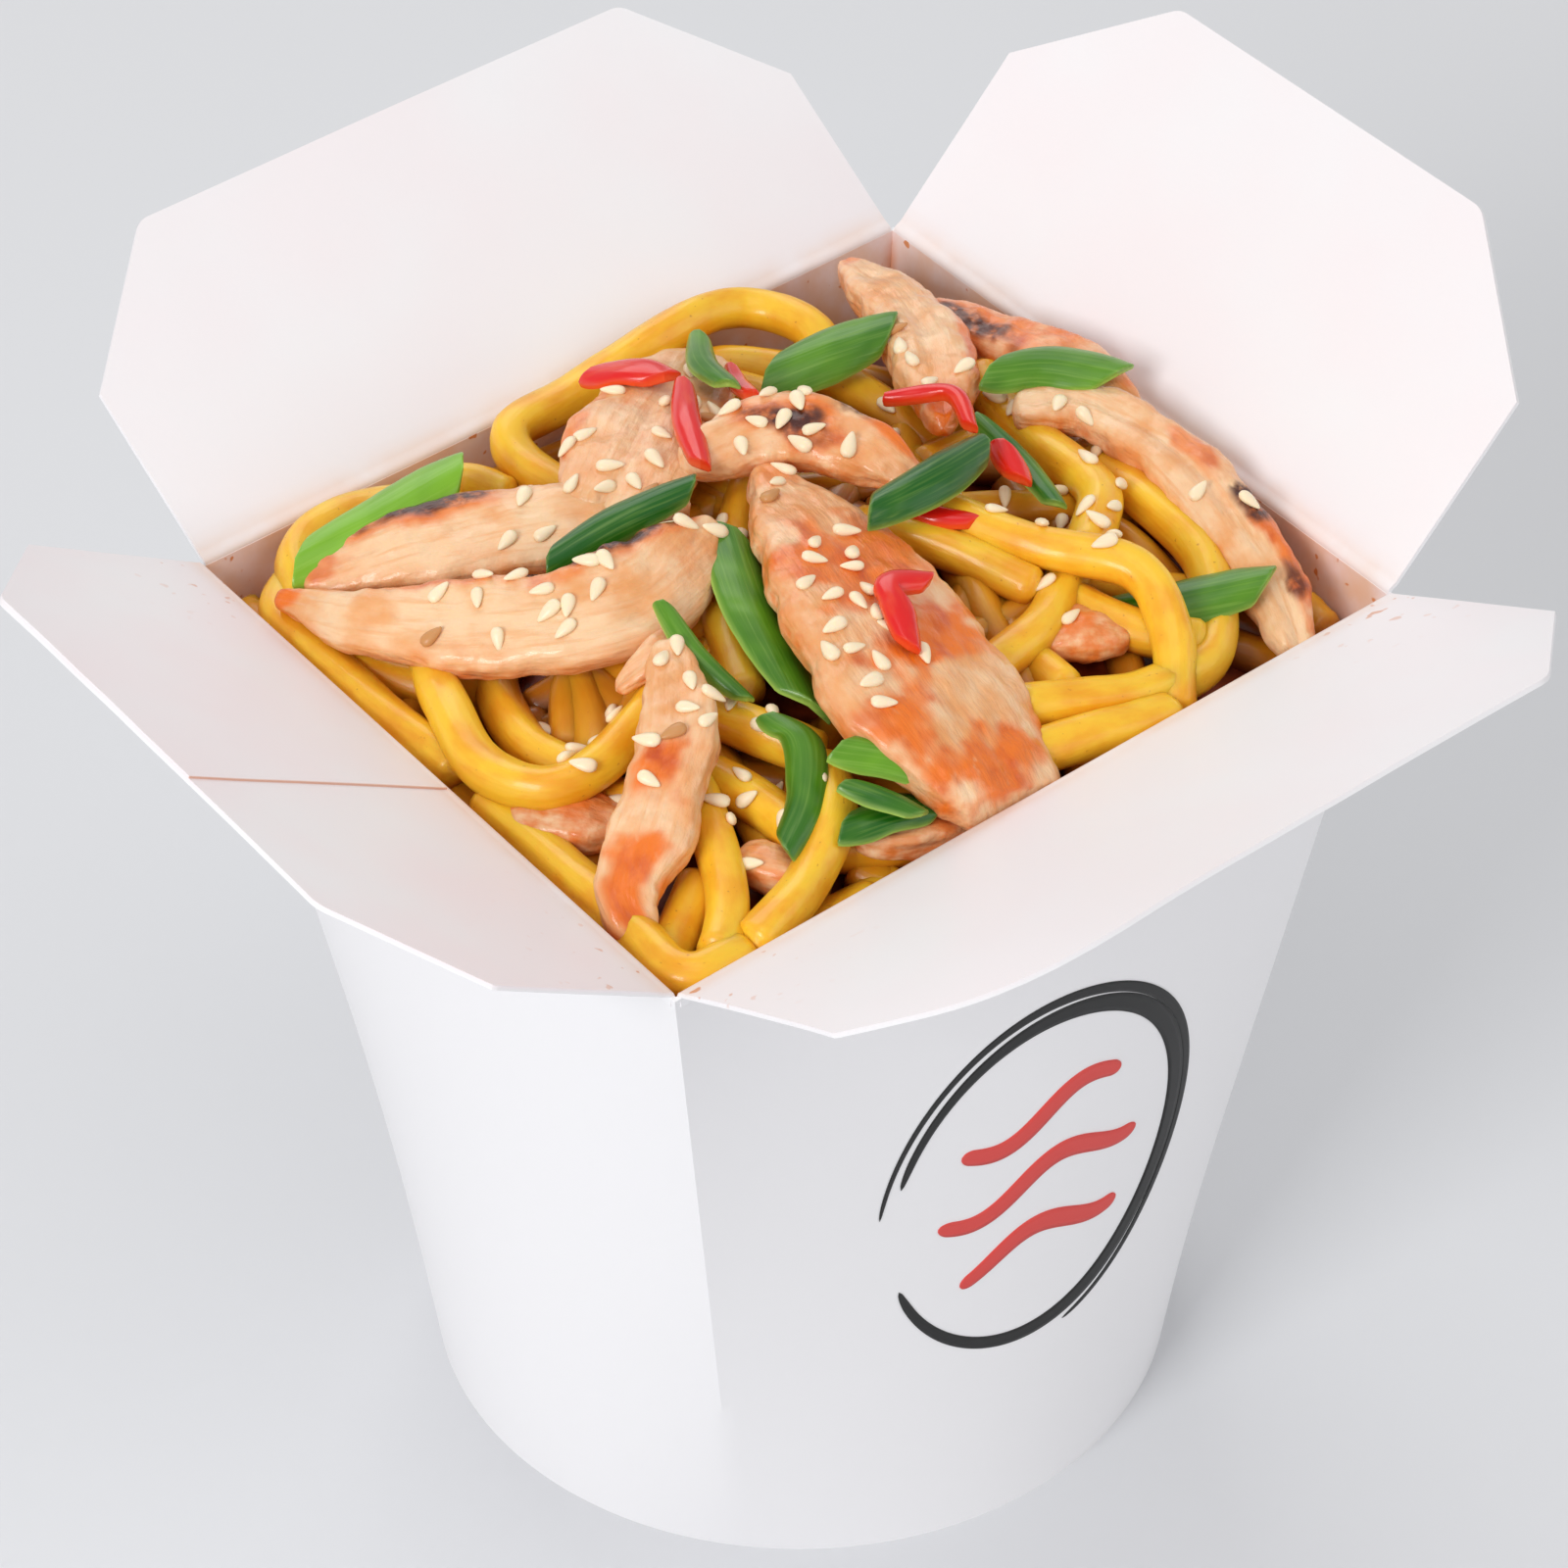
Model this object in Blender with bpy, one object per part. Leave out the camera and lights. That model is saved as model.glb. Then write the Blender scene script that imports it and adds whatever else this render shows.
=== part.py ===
"""Open noodle takeaway box, heaped with noodles, grilled chicken, spring onion, chilli and sesame.

Metres, +Z up. The origin is the centre of the flat base, and the front panel faces -Y.
Sizes below are in millimetres. A food route is a list of (x, y, rise), where rise is the height
above the box's rim of the middle of the piece.
"""

import math
import random

import bmesh
import bpy
from mathutils import Matrix, Vector
from mathutils.bvhtree import BVHTree

MM = 0.001

# The box: a round base and an oblong rim that is pressed slightly out of square
BOX_HEIGHT = 105.0
BASE_RADIUS = 43.5
BASE_SIDES = 44
WALL_ROWS = 2
RIM_HALF_X = 50.0
RIM_HALF_Y = 44.5
RIM_SKEW = 1.6
CARD = 0.6
GAP = 0.3
STRIP_GAP = 0.45

# The flaps: each hinges on a fold just outside and above the rim
FOLD_OUT = 0.45
FOLD_UP = 0.6
CORNER_CLEARANCE = 0.8
FLAP_TILT = {"flap_front": 64.5, "flap_right": 43.0, "flap_back": 54.5, "flap_left": 60.0}
FLAP_DEPTH = {"flap_front": 38.5, "flap_right": 38.5, "flap_back": 37.0, "flap_left": 35.5}
FLAP_SHOULDER = {"flap_front": 25.0, "flap_right": 23.5, "flap_back": 21.0, "flap_left": 23.0}
FLAP_EDGE = {"flap_front": 70.0, "flap_right": 51.0, "flap_back": 68.0, "flap_left": 60.0}

# The heap: the core's top is a low dome between the walls
CORE_EDGE_RISE = -8.0
CORE_CROWN = 12.0
DOME_SHARES = (0.8, 0.5, 0.2)
HEADROOM = 30.0
NOODLE_RADIUS = 2.35
NOODLE_STATION_PITCH = 6.5
CURVE_STEPS = 16

NOODLE_ROUTES = [
    [(-9, 26, 0), (-10, 35, 0), (-8, 40, 1), (1, 41, 1), (13, 41, 4), (25, 41, 3), (29, 32, 2), (25, 23, -2)],
    [(12, 39, -5), (18, 38, -1), (24, 31, 0), (26, 20, 1), (27, 7, 0)],
    [(4, 35, -4), (10, 34, 1), (17, 28, 1), (20, 17, -1)],
    [(-43, 30, -1), (-39, 37, 0), (-33, 39, 1), (-25, 38, 0), (-20, 31, 0)],
    [(-25, 37, -2), (-17, 38, -1), (-14, 32, -1)],
    [(-40, 37, -2), (-45, 32, -2), (-46, 22, -2), (-46, 10, -2), (-45, -2, -2)],
    [(-41, 35, -3), (-43, 24, -3), (-41, 16, -3), (-34, 5, -2)],
    [(-36, 17, 0), (-42, 6, 1), (-45, -4, 1), (-43, -12, 1), (-37, -14, 2), (-30, -12, 3), (-23, -9, 4)],
    [(-32, 11, -1), (-36, 4, -1), (-38, -4, -1), (-37, -12, -1)],
    [(-41, -7, -3), (-37, -13, -3), (-31, -19, -2)],
    [(-36, -11, -2), (-30, -9, -1), (-22, -6, 1)],
    [(5, 13, 5), (-6, 3, 4), (-13, -5, 4), (-19, -16, 3)],
    [(-24, -13, 3), (-22, -19, 3), (-18, -28, 2)],
    [(-28, -20, 1), (-26, -28, 0), (-26, -36, -1)],
    [(-29, -19, 1), (-34, -30, 0), (-38, -37, -1), (-43, -42, -2)],
    [(-18, -27, 2), (-23, -35, 1), (-31, -40, -1), (-40, -43, -2)],
    [(-46, -6, -3), (-46, -22, -3), (-47, -35, -2), (-47, -42, -2), (-40, -43, -3)],
    [(-47, -37, -4), (-42, -34, -4), (-36, -30, -3)],
    [(15, -6, 6), (19, -17, 6), (25, -26, 5), (24, -34, 2), (19, -41, -3)],
    [(38, 15, 2), (35, 1, 2), (33, -12, 3), (24, -20, 3)],
    [(7, -1, 5), (12, -11, 5), (17, -21, 3)],
    [(26, -17, 2), (15, -24, 2), (3, -28, 2)],
    [(20, -17, 1), (22, -28, 0), (28, -36, -1)],
    [(38, -12, 1), (36, -26, 0), (28, -36, 0), (16, -37, 0), (3, -33, 1)],
    [(0, -38, -1), (10, -40, -1), (19, -41, -2)],
    [(14, -11, 1), (12, -22, 0), (11, -33, -1)],
    [(-27, -32, -2), (-20, -37, -3), (-11, -40, -3)],
]

# Short noodles low in the heap: how far from the middle they lie, their half length, bend and rise
HIDDEN_NOODLES = 4
HIDDEN_NOODLE_SPREAD = 0.6
HIDDEN_NOODLE_REACH = 13.0
HIDDEN_NOODLE_BEND = 0.5
HIDDEN_NOODLE_RISE = 0.6

# Chicken: route, width, depth, roll in degrees, taper (lower is blunter), place of the widest point
CHICKEN = {
    "chicken_back_strip": ([(40, 41, 2), (37, 27, 4), (32, 15, 6), (24, 4, 7)], 10.0, 5.5, 0, 0.7, 0.6),
    "chicken_charred_strip": ([(42, 28, 2), (43, 16, 3), (45, 5, 4), (45, -5, 3)], 7.5, 5.0, 0, 0.4, 0.5),
    "chicken_right_strip": ([(34, 4, 5), (41, -1, 4), (43, -14, 3), (41, -28, 0), (36, -41, -3)],
                            8.0, 6.0, 5, 0.3, 0.6),
    "chicken_fold": ([(13, 33, 5), (1, 25, 7), (-7, 19, 8), (-15, 14, 8)], 17.0, 5.0, 0, 0.45, 0.6),
    "chicken_top_strip": ([(-5, 13, 10), (5, 11, 11), (11, 4, 11), (14, -5, 9)], 9.5, 5.0, 18, 0.6, 0.45),
    "chicken_left_slice": ([(-42, 32, 1), (-32, 26, 4), (-20, 19, 6), (-6, 10, 7)], 10.5, 5.0, 18, 0.5, 0.5),
    "chicken_long_slice": ([(-46, 31, 1), (-41, 17, 4), (-32, 5, 6.5), (-22, -1, 8.5), (-8, 3, 9.5)],
                           12.5, 5.0, 25, 0.8, 0.72),
    "chicken_grilled_slice": ([(2, 8, 8.5), (-2, -11, 9), (-6, -30, 6), (-6, -42, 0), (-6, -48, -5)],
                              23.0, 6.5, -16, 0.8, 0.62),
    "chicken_front_strip": ([(-24, -10, 9), (-32, -21, 7), (-40, -27, 3), (-46, -31, 0), (-47, -35, -4)],
                            9.0, 5.5, 0, 0.55, 0.5),
    "chicken_shred": ([(-21, -8, 8.5), (-26, -9, 7.5), (-30, -8, 5)], 4.5, 2.6, 0, 0.4, 0.5),
    "chicken_left_bit": ([(-44, -9, -2), (-42, -14, -2), (-38, -20, -2)], 8.0, 4.0, 0, 0.4, 0.5),
    "chicken_front_bit": ([(-32, -31, -1.5), (-30, -35, -1.5), (-27, -38, -2)], 6.0, 4.0, 0, 0.4, 0.5),
    "chicken_right_bit": ([(12, -24, 0.5), (18, -27, 0.5), (22, -30, 0)], 7.0, 4.0, 0, 0.4, 0.5),
    "chicken_edge_bit": ([(-22, -37, 0), (-17, -40, -1), (-9, -41, -3)], 5.0, 4.0, 0, 0.4, 0.5),
}
CHICKEN_STATIONS = 10
CHICKEN_RING = 9
CHICKEN_WIDTH_TRIM = 0.06
CHICKEN_DEPTH_TRIM = 0.12
CHICKEN_DEPTH_POWER = 0.5
CHICKEN_SQUARENESS = 3
UNEVEN_WIDTH = 0.08
UNEVEN_DEPTH = 0.1
UNEVEN_RING = 0.05

# Spring onion slices: route, width, height of the arched section, roll in degrees
ONION = {
    "onion_left_broad": ([(-42, 33, 3.5), (-31, 31, 6), (-21, 31, 7)], 7.5, 1.4, 15),
    "onion_centre_dark": ([(-26, 9, 10), (-17, 8, 12), (-8, 6.5, 13)], 4.5, 1.4, 20),
    "onion_small": ([(13, 33, 9), (9, 27, 10.5), (7, 20, 12)], 3.4, 0.8, 0),
    "onion_back_broad": ([(16, 25, 6.5), (23, 23, 7.5), (31, 21, 8)], 7.5, 1.5, 15),
    "onion_back_right": ([(34, 8, 8.5), (40, 5, 8), (45, -1, 7.5)], 6.5, 1.2, 15),
    "onion_narrow": ([(29, 4, 6.5), (28, -5, 6), (26, -13, 5.5)], 3.2, 0.8, 0),
    "onion_centre_right": ([(4, -8, 12.5), (13, -8, 12.5), (23, -5, 10.5)], 5.5, 1.4, 20),
    "onion_centre_upright": ([(-7, 1, 9.5), (-12, -10, 8), (-16, -23, 5.5)], 7.5, 1.6, -25),
    "onion_thin_upper": ([(-22, -6, 11.5), (-23, -13, 9.5), (-22, -20, 7)], 2.8, 0.8, 0),
    "onion_thin_lower": ([(-21, -23, 6.5), (-21, -28, 6), (-25, -33, 4), (-30, -36, 2)], 4.5, 1.0, 0),
    "onion_front_light": ([(-20, -33, 8.5), (-15, -37, 7), (-9, -42, 3.5)], 5.5, 1.3, 15),
    "onion_front_dark": ([(-24, -38, 3), (-18, -39.5, 3), (-13, -41, 1.5)], 5.0, 1.0, 10),
    "onion_front_tip": ([(-22, -36, 6), (-19, -40, 5), (-17, -42.5, 3.6)], 3.0, 0.6, 0),
    "onion_right": ([(19, -25, 1), (27, -30, 2), (37, -35, 3)], 6.5, 1.3, 15),
}
ONION_SKIN = 0.9

# Chilli strips: route, width, height of the arched section, roll in degrees
CHILLI = {
    "chilli_wedge": ([(0, 35.5, 8), (2, 31, 10), (3.5, 27, 10.5)], 4.8, 0.6, 0),
    "chilli_long": ([(4, 24, 11.5), (-1, 17, 12.5), (-5, 9.5, 12.5)], 3.2, 0.6, 0),
    "chilli_small": ([(12, 26, 8.5), (10, 22, 9.5), (8, 17, 11.5)], 2.2, 0.4, 0),
    "chilli_arc": ([(21, 10, 9), (26, 5, 10.5), (24, -1, 10)], 2.2, 0.5, 0),
    "chilli_lump": ([(26, -4, 8.5), (24, -9, 7.5)], 3.4, 0.8, 0),
    "chilli_low": ([(11, -5, 8.5), (13, -9, 8), (16, -12, 7.5)], 2.8, 0.5, 0),
    "chilli_bent": ([(1, -22, 12.5), (-3, -21, 13.5), (-5, -24, 13), (-7, -28, 11.5)], 3.6, 0.5, -10),
}
CHILLI_SKIN = 1.4

# Both kinds of strip narrow a little to ends that are cut on the slant
STRIP_TRIM = 0.1
STRIP_POWER = 0.4
STRIP_SLANT = 0.9

# Sesame: seeds are scattered in patches, each (x, y, spread, count)
SEED_LENGTH = 3.2
SEED_WIDTH = 2.1
SEED_DEPTH = 1.2
SEED_PATCHES = [
    (-14, 8, 9, 20), (-8, -22, 8, 16), (4, 12, 8, 10), (22, -10, 12, 14), (-34, 10, 10, 9),
    (-30, -12, 11, 9), (30, 8, 12, 10), (-26, -30, 10, 6), (-20, 22, 12, 7), (12, 30, 10, 5),
]
SEED_ROOM = 2.2
SEED_SPACING = 3.7
SEED_SINK = 0.12
SEED_MARGIN = 5.0
STEEPEST_SEED = 0.45

# In degrees: faces closer than this in slope are merged after a cut, and sharper edges stay sharp
FLAT_ANGLE = 2.0
SHARP_ANGLE = 40.0

COLOURS = {
    "card": ((0.86, 0.84, 0.84), 0.45),
    "noodle": ((0.86, 0.48, 0.07), 0.35),
    "chicken": ((0.82, 0.47, 0.25), 0.5),
    "onion": ((0.16, 0.38, 0.05), 0.4),
    "chilli": ((0.70, 0.03, 0.03), 0.3),
}


def clear_scene():
    """Remove every object that is already in the scene."""
    for item in list(bpy.data.objects):
        bpy.data.objects.remove(item)


def collection(name):
    """A new collection, linked to the scene."""
    made = bpy.data.collections.new(name)
    bpy.context.scene.collection.children.link(made)
    return made


def material(name):
    """A Principled material with the named colour."""
    colour, roughness = COLOURS[name]
    made = bpy.data.materials.get(name) or bpy.data.materials.new(name)
    made.use_nodes = True
    shader = made.node_tree.nodes["Principled BSDF"]
    shader.inputs["Base Color"].default_value = (*colour, 1.0)
    shader.inputs["Roughness"].default_value = roughness
    return made


def dress(item, look):
    """Give the object its one material, and smooth shading except across sharp edges."""
    item.data.materials.clear()
    item.data.materials.append(material(look))
    item.data.shade_smooth()
    item.data.set_sharp_from_angle(angle=math.radians(SHARP_ANGLE))


def add_object(name, data, home):
    """An object that holds the data, in the given collection."""
    item = bpy.data.objects.new(name, data)
    home.objects.link(item)
    return item


def mesh_object(name, bm, home):
    """An object made from a bmesh, which is then freed."""
    bmesh.ops.recalc_face_normals(bm, faces=bm.faces)
    data = bpy.data.meshes.new(name)
    bm.to_mesh(data)
    bm.free()
    return add_object(name, data, home)


def bake(item):
    """Replace the object's mesh by its evaluated one, and drop its modifiers."""
    bpy.context.view_layer.update()
    graph = bpy.context.evaluated_depsgraph_get()
    data = bpy.data.meshes.new_from_object(item.evaluated_get(graph))
    item.modifiers.clear()
    item.data = data


def curve_to_mesh(item, home):
    """A mesh object with the curve's shape and place, its caps welded."""
    bpy.context.view_layer.update()
    graph = bpy.context.evaluated_depsgraph_get()
    data = bpy.data.meshes.new_from_object(item.evaluated_get(graph))
    bm = bmesh.new()
    bm.from_mesh(data)
    bmesh.ops.remove_doubles(bm, verts=bm.verts, dist=0.00001)
    bm.to_mesh(data)
    bm.free()
    made = add_object(item.name + "_mesh", data, home)
    made.matrix_world = item.matrix_world.copy()
    name = item.name
    bpy.data.objects.remove(item)
    made.name = name
    return made


def boolean(item, operation, other, solver="MANIFOLD"):
    """Join, cut or trim an object by another object or by a collection, and keep the result."""
    step = item.modifiers.new(operation.lower(), "BOOLEAN")
    step.operation = operation
    step.solver = solver
    if isinstance(other, bpy.types.Collection):
        step.operand_type = "COLLECTION"
        step.collection = other
    else:
        step.object = other
    bake(item)


def keep_largest(item):
    """Merge flat slivers, and drop loose scraps and sealed hollows: only the largest body stays."""
    bm = bmesh.new()
    bm.from_mesh(item.data)
    bmesh.ops.dissolve_limit(bm, angle_limit=math.radians(FLAT_ANGLE), verts=bm.verts, edges=bm.edges)
    bmesh.ops.triangulate(bm, faces=bm.faces)
    unseen = set(bm.verts)
    bodies = []
    while unseen:
        start = unseen.pop()
        body = {start}
        front = [start]
        while front:
            vert = front.pop()
            for edge in vert.link_edges:
                near = edge.other_vert(vert)
                if near in unseen:
                    unseen.remove(near)
                    body.add(near)
                    front.append(near)
        bodies.append(body)
    bodies.sort(key=extent, reverse=True)
    scraps = [vert for body in bodies[1:] for vert in body]
    bmesh.ops.delete(bm, geom=scraps, context="VERTS")
    bm.to_mesh(item.data)
    bm.free()


def extent(body):
    """Diagonal of the box round a set of vertices."""
    low = Vector([min(vert.co[axis] for vert in body) for axis in range(3)])
    high = Vector([max(vert.co[axis] for vert in body) for axis in range(3)])
    return (high - low).length


def rim_corners(inset):
    """Rim corners, anticlockwise from the front left, moved in by inset."""
    corners = []
    for side_x, side_y in ((-1, -1), (1, -1), (1, 1), (-1, 1)):
        x = side_x * (RIM_HALF_X - inset) + side_y * RIM_SKEW
        y = side_y * (RIM_HALF_Y - inset) + side_x * RIM_SKEW
        corners.append(Vector((x, y, 0)))
    return corners


def wall_ring(inset, share, height):
    """Section of the walls: a circle at the base (share 0) that squares up to the rim (share 1).

    Each panel is ruled from a straight rim side down to a quarter of the base circle, so the
    crease at each corner is sharp at the rim and fades out at the base.
    """
    corners = rim_corners(inset)
    ring = []
    per_side = BASE_SIDES // 4
    for index, corner in enumerate(corners):
        after = corners[(index + 1) % 4]
        first = math.atan2(corner.y, corner.x)
        sweep = (math.atan2(after.y, after.x) - first) % math.tau
        for step in range(per_side):
            turn = first + sweep * step / per_side
            low = Vector((math.cos(turn), math.sin(turn), 0)) * (BASE_RADIUS - inset)
            high = corner.lerp(after, step / per_side)
            place = low.lerp(high, share)
            place.z = height
            ring.append(place)
    return ring


def walled_solid(name, inset, low, high, home):
    """A solid with the walls' shape, moved in by inset, from low to high. Above the rim it is upright."""
    rows = [BOX_HEIGHT * row / WALL_ROWS for row in range(1, WALL_ROWS + 1)]
    heights = [low] + [height for height in rows if height < high] + [high]
    rings = [wall_ring(inset, min(height / BOX_HEIGHT, 1), height) for height in heights]
    return loft(name, rings, home)


def box_body(parts, tools):
    """Card walls and base."""
    body = walled_solid("box_body", 0, 0, BOX_HEIGHT, parts)
    cavity = walled_solid("cavity", CARD, CARD, BOX_HEIGHT + HEADROOM, tools)
    boolean(body, "DIFFERENCE", cavity, "EXACT")
    dress(body, "card")


def flap(name, start, end, parts):
    """One flap: a card plate with two cut corners, hinged along the rim side from start to end."""
    side = end - start
    heading = math.atan2(side.y, side.x)
    outward = Vector((math.sin(heading), -math.cos(heading), 0))
    half = side.length / 2 - CORNER_CLEARANCE
    shoulder = FLAP_SHOULDER[name]
    depth = FLAP_DEPTH[name]
    edge = FLAP_EDGE[name] / 2
    outline = [(-half, 0), (half, 0), (half, shoulder), (edge, depth), (-edge, depth), (-half, shoulder)]
    curve = bpy.data.curves.new(name, "CURVE")
    curve.dimensions = "2D"
    curve.fill_mode = "BOTH"
    curve.extrude = CARD / 2 * MM
    spline = curve.splines.new("POLY")
    spline.points.add(len(outline) - 1)
    for point, (x, y) in zip(spline.points, outline):
        point.co = (x * MM, y * MM, 0, 1)
    spline.use_cyclic_u = True
    item = add_object(name, curve, parts)
    middle = (start + end) / 2 + outward * FOLD_OUT + Vector((0, 0, FOLD_UP))
    item.location = middle * MM
    item.rotation_euler = (math.radians(90 + FLAP_TILT[name]), 0, heading)
    dress(curve_to_mesh(item, parts), "card")


def smooth_route(points, stations):
    """Evenly spaced points on a smooth curve through the given ones, in mm above the base."""
    knots = [Vector((x, y, BOX_HEIGHT + rise)) for x, y, rise in points]
    knots = [2 * knots[0] - knots[1]] + knots + [2 * knots[-1] - knots[-2]]
    dense = []
    for index in range(1, len(knots) - 2):
        before, first, second, after = knots[index - 1:index + 3]
        for step in range(CURVE_STEPS):
            t = step / CURVE_STEPS
            dense.append(0.5 * (2 * first + (second - before) * t
                                + (2 * before - 5 * first + 4 * second - after) * t ** 2
                                + (3 * first - before - 3 * second + after) * t ** 3))
    dense.append(knots[-2])
    travelled = [0.0]
    for near, far in zip(dense, dense[1:]):
        travelled.append(travelled[-1] + (far - near).length)
    route = []
    place = 0
    for station in range(stations):
        target = travelled[-1] * station / (stations - 1)
        while place < len(dense) - 2 and travelled[place + 1] < target:
            place += 1
        share = (target - travelled[place]) / (travelled[place + 1] - travelled[place])
        route.append(dense[place].lerp(dense[place + 1], share))
    return route


def dome(x, y):
    """Height in mm of the heap's core above a plan position."""
    across = 1 - (x / RIM_HALF_X) ** 2
    along = 1 - (y / RIM_HALF_Y) ** 2
    return BOX_HEIGHT + CORE_EDGE_RISE + CORE_CROWN * across * along


def noodle(name, points, home):
    """One noodle: a round tube along a smooth route."""
    curve = bpy.data.curves.new(name, "CURVE")
    curve.dimensions = "3D"
    curve.bevel_depth = NOODLE_RADIUS * MM
    curve.bevel_resolution = 2
    curve.use_fill_caps = True
    length = sum(math.dist(near, far) for near, far in zip(points, points[1:]))
    route = smooth_route(points, 2 + round(length / NOODLE_STATION_PITCH))
    spline = curve.splines.new("POLY")
    spline.points.add(len(route) - 1)
    for point, place in zip(spline.points, route):
        point.co = (*(place * MM), 1)
    return curve_to_mesh(add_object(name, curve, home), home)


def hidden_routes():
    """Routes of the noodles that fill the gaps low in the heap, by a seeded draw."""
    draw = random.Random(7)
    routes = []
    for _ in range(HIDDEN_NOODLES):
        x = draw.uniform(-1, 1) * HIDDEN_NOODLE_SPREAD * RIM_HALF_X
        y = draw.uniform(-1, 1) * HIDDEN_NOODLE_SPREAD * RIM_HALF_Y
        turn = draw.uniform(0, math.pi)
        bend = draw.uniform(-1, 1) * HIDDEN_NOODLE_BEND
        route = []
        for reach in (-HIDDEN_NOODLE_REACH, 0, HIDDEN_NOODLE_REACH):
            angle = turn + bend * reach / HIDDEN_NOODLE_REACH
            px = x + reach * math.cos(angle)
            py = y + reach * math.sin(angle)
            route.append((px, py, dome(px, py) - BOX_HEIGHT + HIDDEN_NOODLE_RISE))
        routes.append(route)
    return routes


def heap(parts):
    """Core and noodles, joined into one body. The core fills the box and ends in a low dome."""
    inset = CARD + 2 * GAP
    edge = BOX_HEIGHT + CORE_EDGE_RISE
    rings = [wall_ring(inset, height / BOX_HEIGHT, height) for height in (inset, edge / 2, edge)]
    for share in DOME_SHARES:
        ring = [point * share for point in rings[2]]
        for point in ring:
            point.z = dome(point.x, point.y)
        rings.append(ring)
    core = loft("noodle_heap", rings, parts)
    joined = collection("noodles")
    for index, points in enumerate(NOODLE_ROUTES + hidden_routes()):
        noodle("noodle_%02d" % index, points, joined)
    boolean(core, "UNION", joined)
    remove_all(joined)
    return core


def remove_all(group):
    """Remove a collection and its objects."""
    for item in list(group.objects):
        bpy.data.objects.remove(item)
    bpy.data.collections.remove(group)


def side_frame(route, station, roll):
    """Forward, sideways and upward directions at one station of a route."""
    ahead = route[min(station + 1, len(route) - 1)] - route[max(station - 1, 0)]
    ahead.normalize()
    across = ahead.cross(Vector((0, 0, 1))).normalized()
    turn = Matrix.Rotation(math.radians(roll), 3, ahead)
    across = turn @ across
    return ahead, across, across.cross(ahead)


def swell(share, trim, power):
    """Part of full size at a share of the length: a half sine wave, cut short by trim at both ends."""
    return math.sin(math.pi * (trim + (1 - 2 * trim) * share)) ** power


def loft(name, rings, home):
    """A closed body through rings with the same number of points, its ends closed."""
    bm = bmesh.new()
    loops = [[bm.verts.new(point * MM) for point in ring] for ring in rings]
    for near, far in zip(loops, loops[1:]):
        for index, vert in enumerate(near):
            after = (index + 1) % len(near)
            bm.faces.new((vert, near[after], far[after], far[index]))
    bm.faces.new(loops[0])
    bm.faces.new(loops[-1])
    bmesh.ops.triangulate(bm, faces=bm.faces, quad_method="SHORT_EDGE")
    return mesh_object(name, bm, home)


def chicken(name, home, grow=0.0):
    """One uneven piece of chicken: a rounded slab whose width swells and tapers along its route.

    The same seeded draw makes the piece and its grown copy, which is larger by grow all round.
    """
    points, width, depth, roll, taper, peak = CHICKEN[name]
    draw = random.Random(name)
    route = smooth_route(points, CHICKEN_STATIONS)
    rings = []
    for station in range(CHICKEN_STATIONS):
        share = station / (CHICKEN_STATIONS - 1)
        along = share / peak / 2 if share < peak else (share + 1 - 2 * peak) / (1 - peak) / 2
        wide = swell(along, CHICKEN_WIDTH_TRIM, taper) * (1 + UNEVEN_WIDTH * draw.uniform(-1, 1))
        deep = swell(share, CHICKEN_DEPTH_TRIM, CHICKEN_DEPTH_POWER)
        deep *= 1 + UNEVEN_DEPTH * draw.uniform(-1, 1)
        ahead, across, upward = side_frame(route, station, roll)
        middle = route[station] + ahead * grow * (2 * share - 1)
        ring = []
        for index in range(CHICKEN_RING):
            turn = math.tau * index / CHICKEN_RING
            reach = abs(math.cos(turn)) ** CHICKEN_SQUARENESS + abs(math.sin(turn)) ** CHICKEN_SQUARENESS
            square = reach ** (-1 / CHICKEN_SQUARENESS) * (1 + UNEVEN_RING * draw.uniform(-1, 1))
            out = math.cos(turn) * square * (width / 2 * wide + grow)
            rise = math.sin(turn) * square * (depth / 2 * deep + grow)
            ring.append(middle + across * out + upward * rise)
        rings.append(ring)
    return loft(name, rings, home)


def strip(name, shape, skin, home, grow=0.0):
    """A thin curled strip: an arched sheet as thick as its skin, its ends cut on the slant."""
    points, width, arch, roll = shape
    stations = 1 + 2 * len(points)
    route = smooth_route(points, stations)
    rings = []
    for station in range(stations):
        share = station / (stations - 1)
        wide = swell(share, STRIP_TRIM, STRIP_POWER)
        ahead, across, upward = side_frame(route, station, roll)
        middle = route[station] + ahead * grow * (2 * share - 1)
        half = width / 2 * wide + grow
        thick = skin / 2 + grow
        top = []
        bottom = []
        for side in (-1, 0, 1):
            place = middle + (across - ahead * STRIP_SLANT) * (side * half)
            place -= upward * (arch * wide * side * side)
            top.append(place + upward * thick)
            bottom.append(place - upward * thick)
        rings.append(top + bottom[::-1])
    return loft(name, rings, home)


def seed(name, place, normal, heading, home):
    """One sesame seed: a squashed ball lying on a surface."""
    bm = bmesh.new()
    bmesh.ops.create_icosphere(bm, subdivisions=1, radius=0.5 * MM)
    item = mesh_object(name, bm, home)
    stand = normal.to_track_quat("Z", "X").to_matrix().to_4x4()
    size = Matrix.Diagonal((SEED_LENGTH, SEED_WIDTH, SEED_DEPTH, 1))
    turn = Matrix.Rotation(heading, 4, "Z")
    lift = Matrix.Translation(place + normal * SEED_DEPTH * SEED_SINK * MM)
    item.data.transform(lift @ stand @ turn @ size)
    return item


def surface(item):
    """A search tree of one object's faces."""
    bm = bmesh.new()
    bm.from_mesh(item.data)
    tree = BVHTree.FromBMesh(bm)
    bm.free()
    return tree


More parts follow.
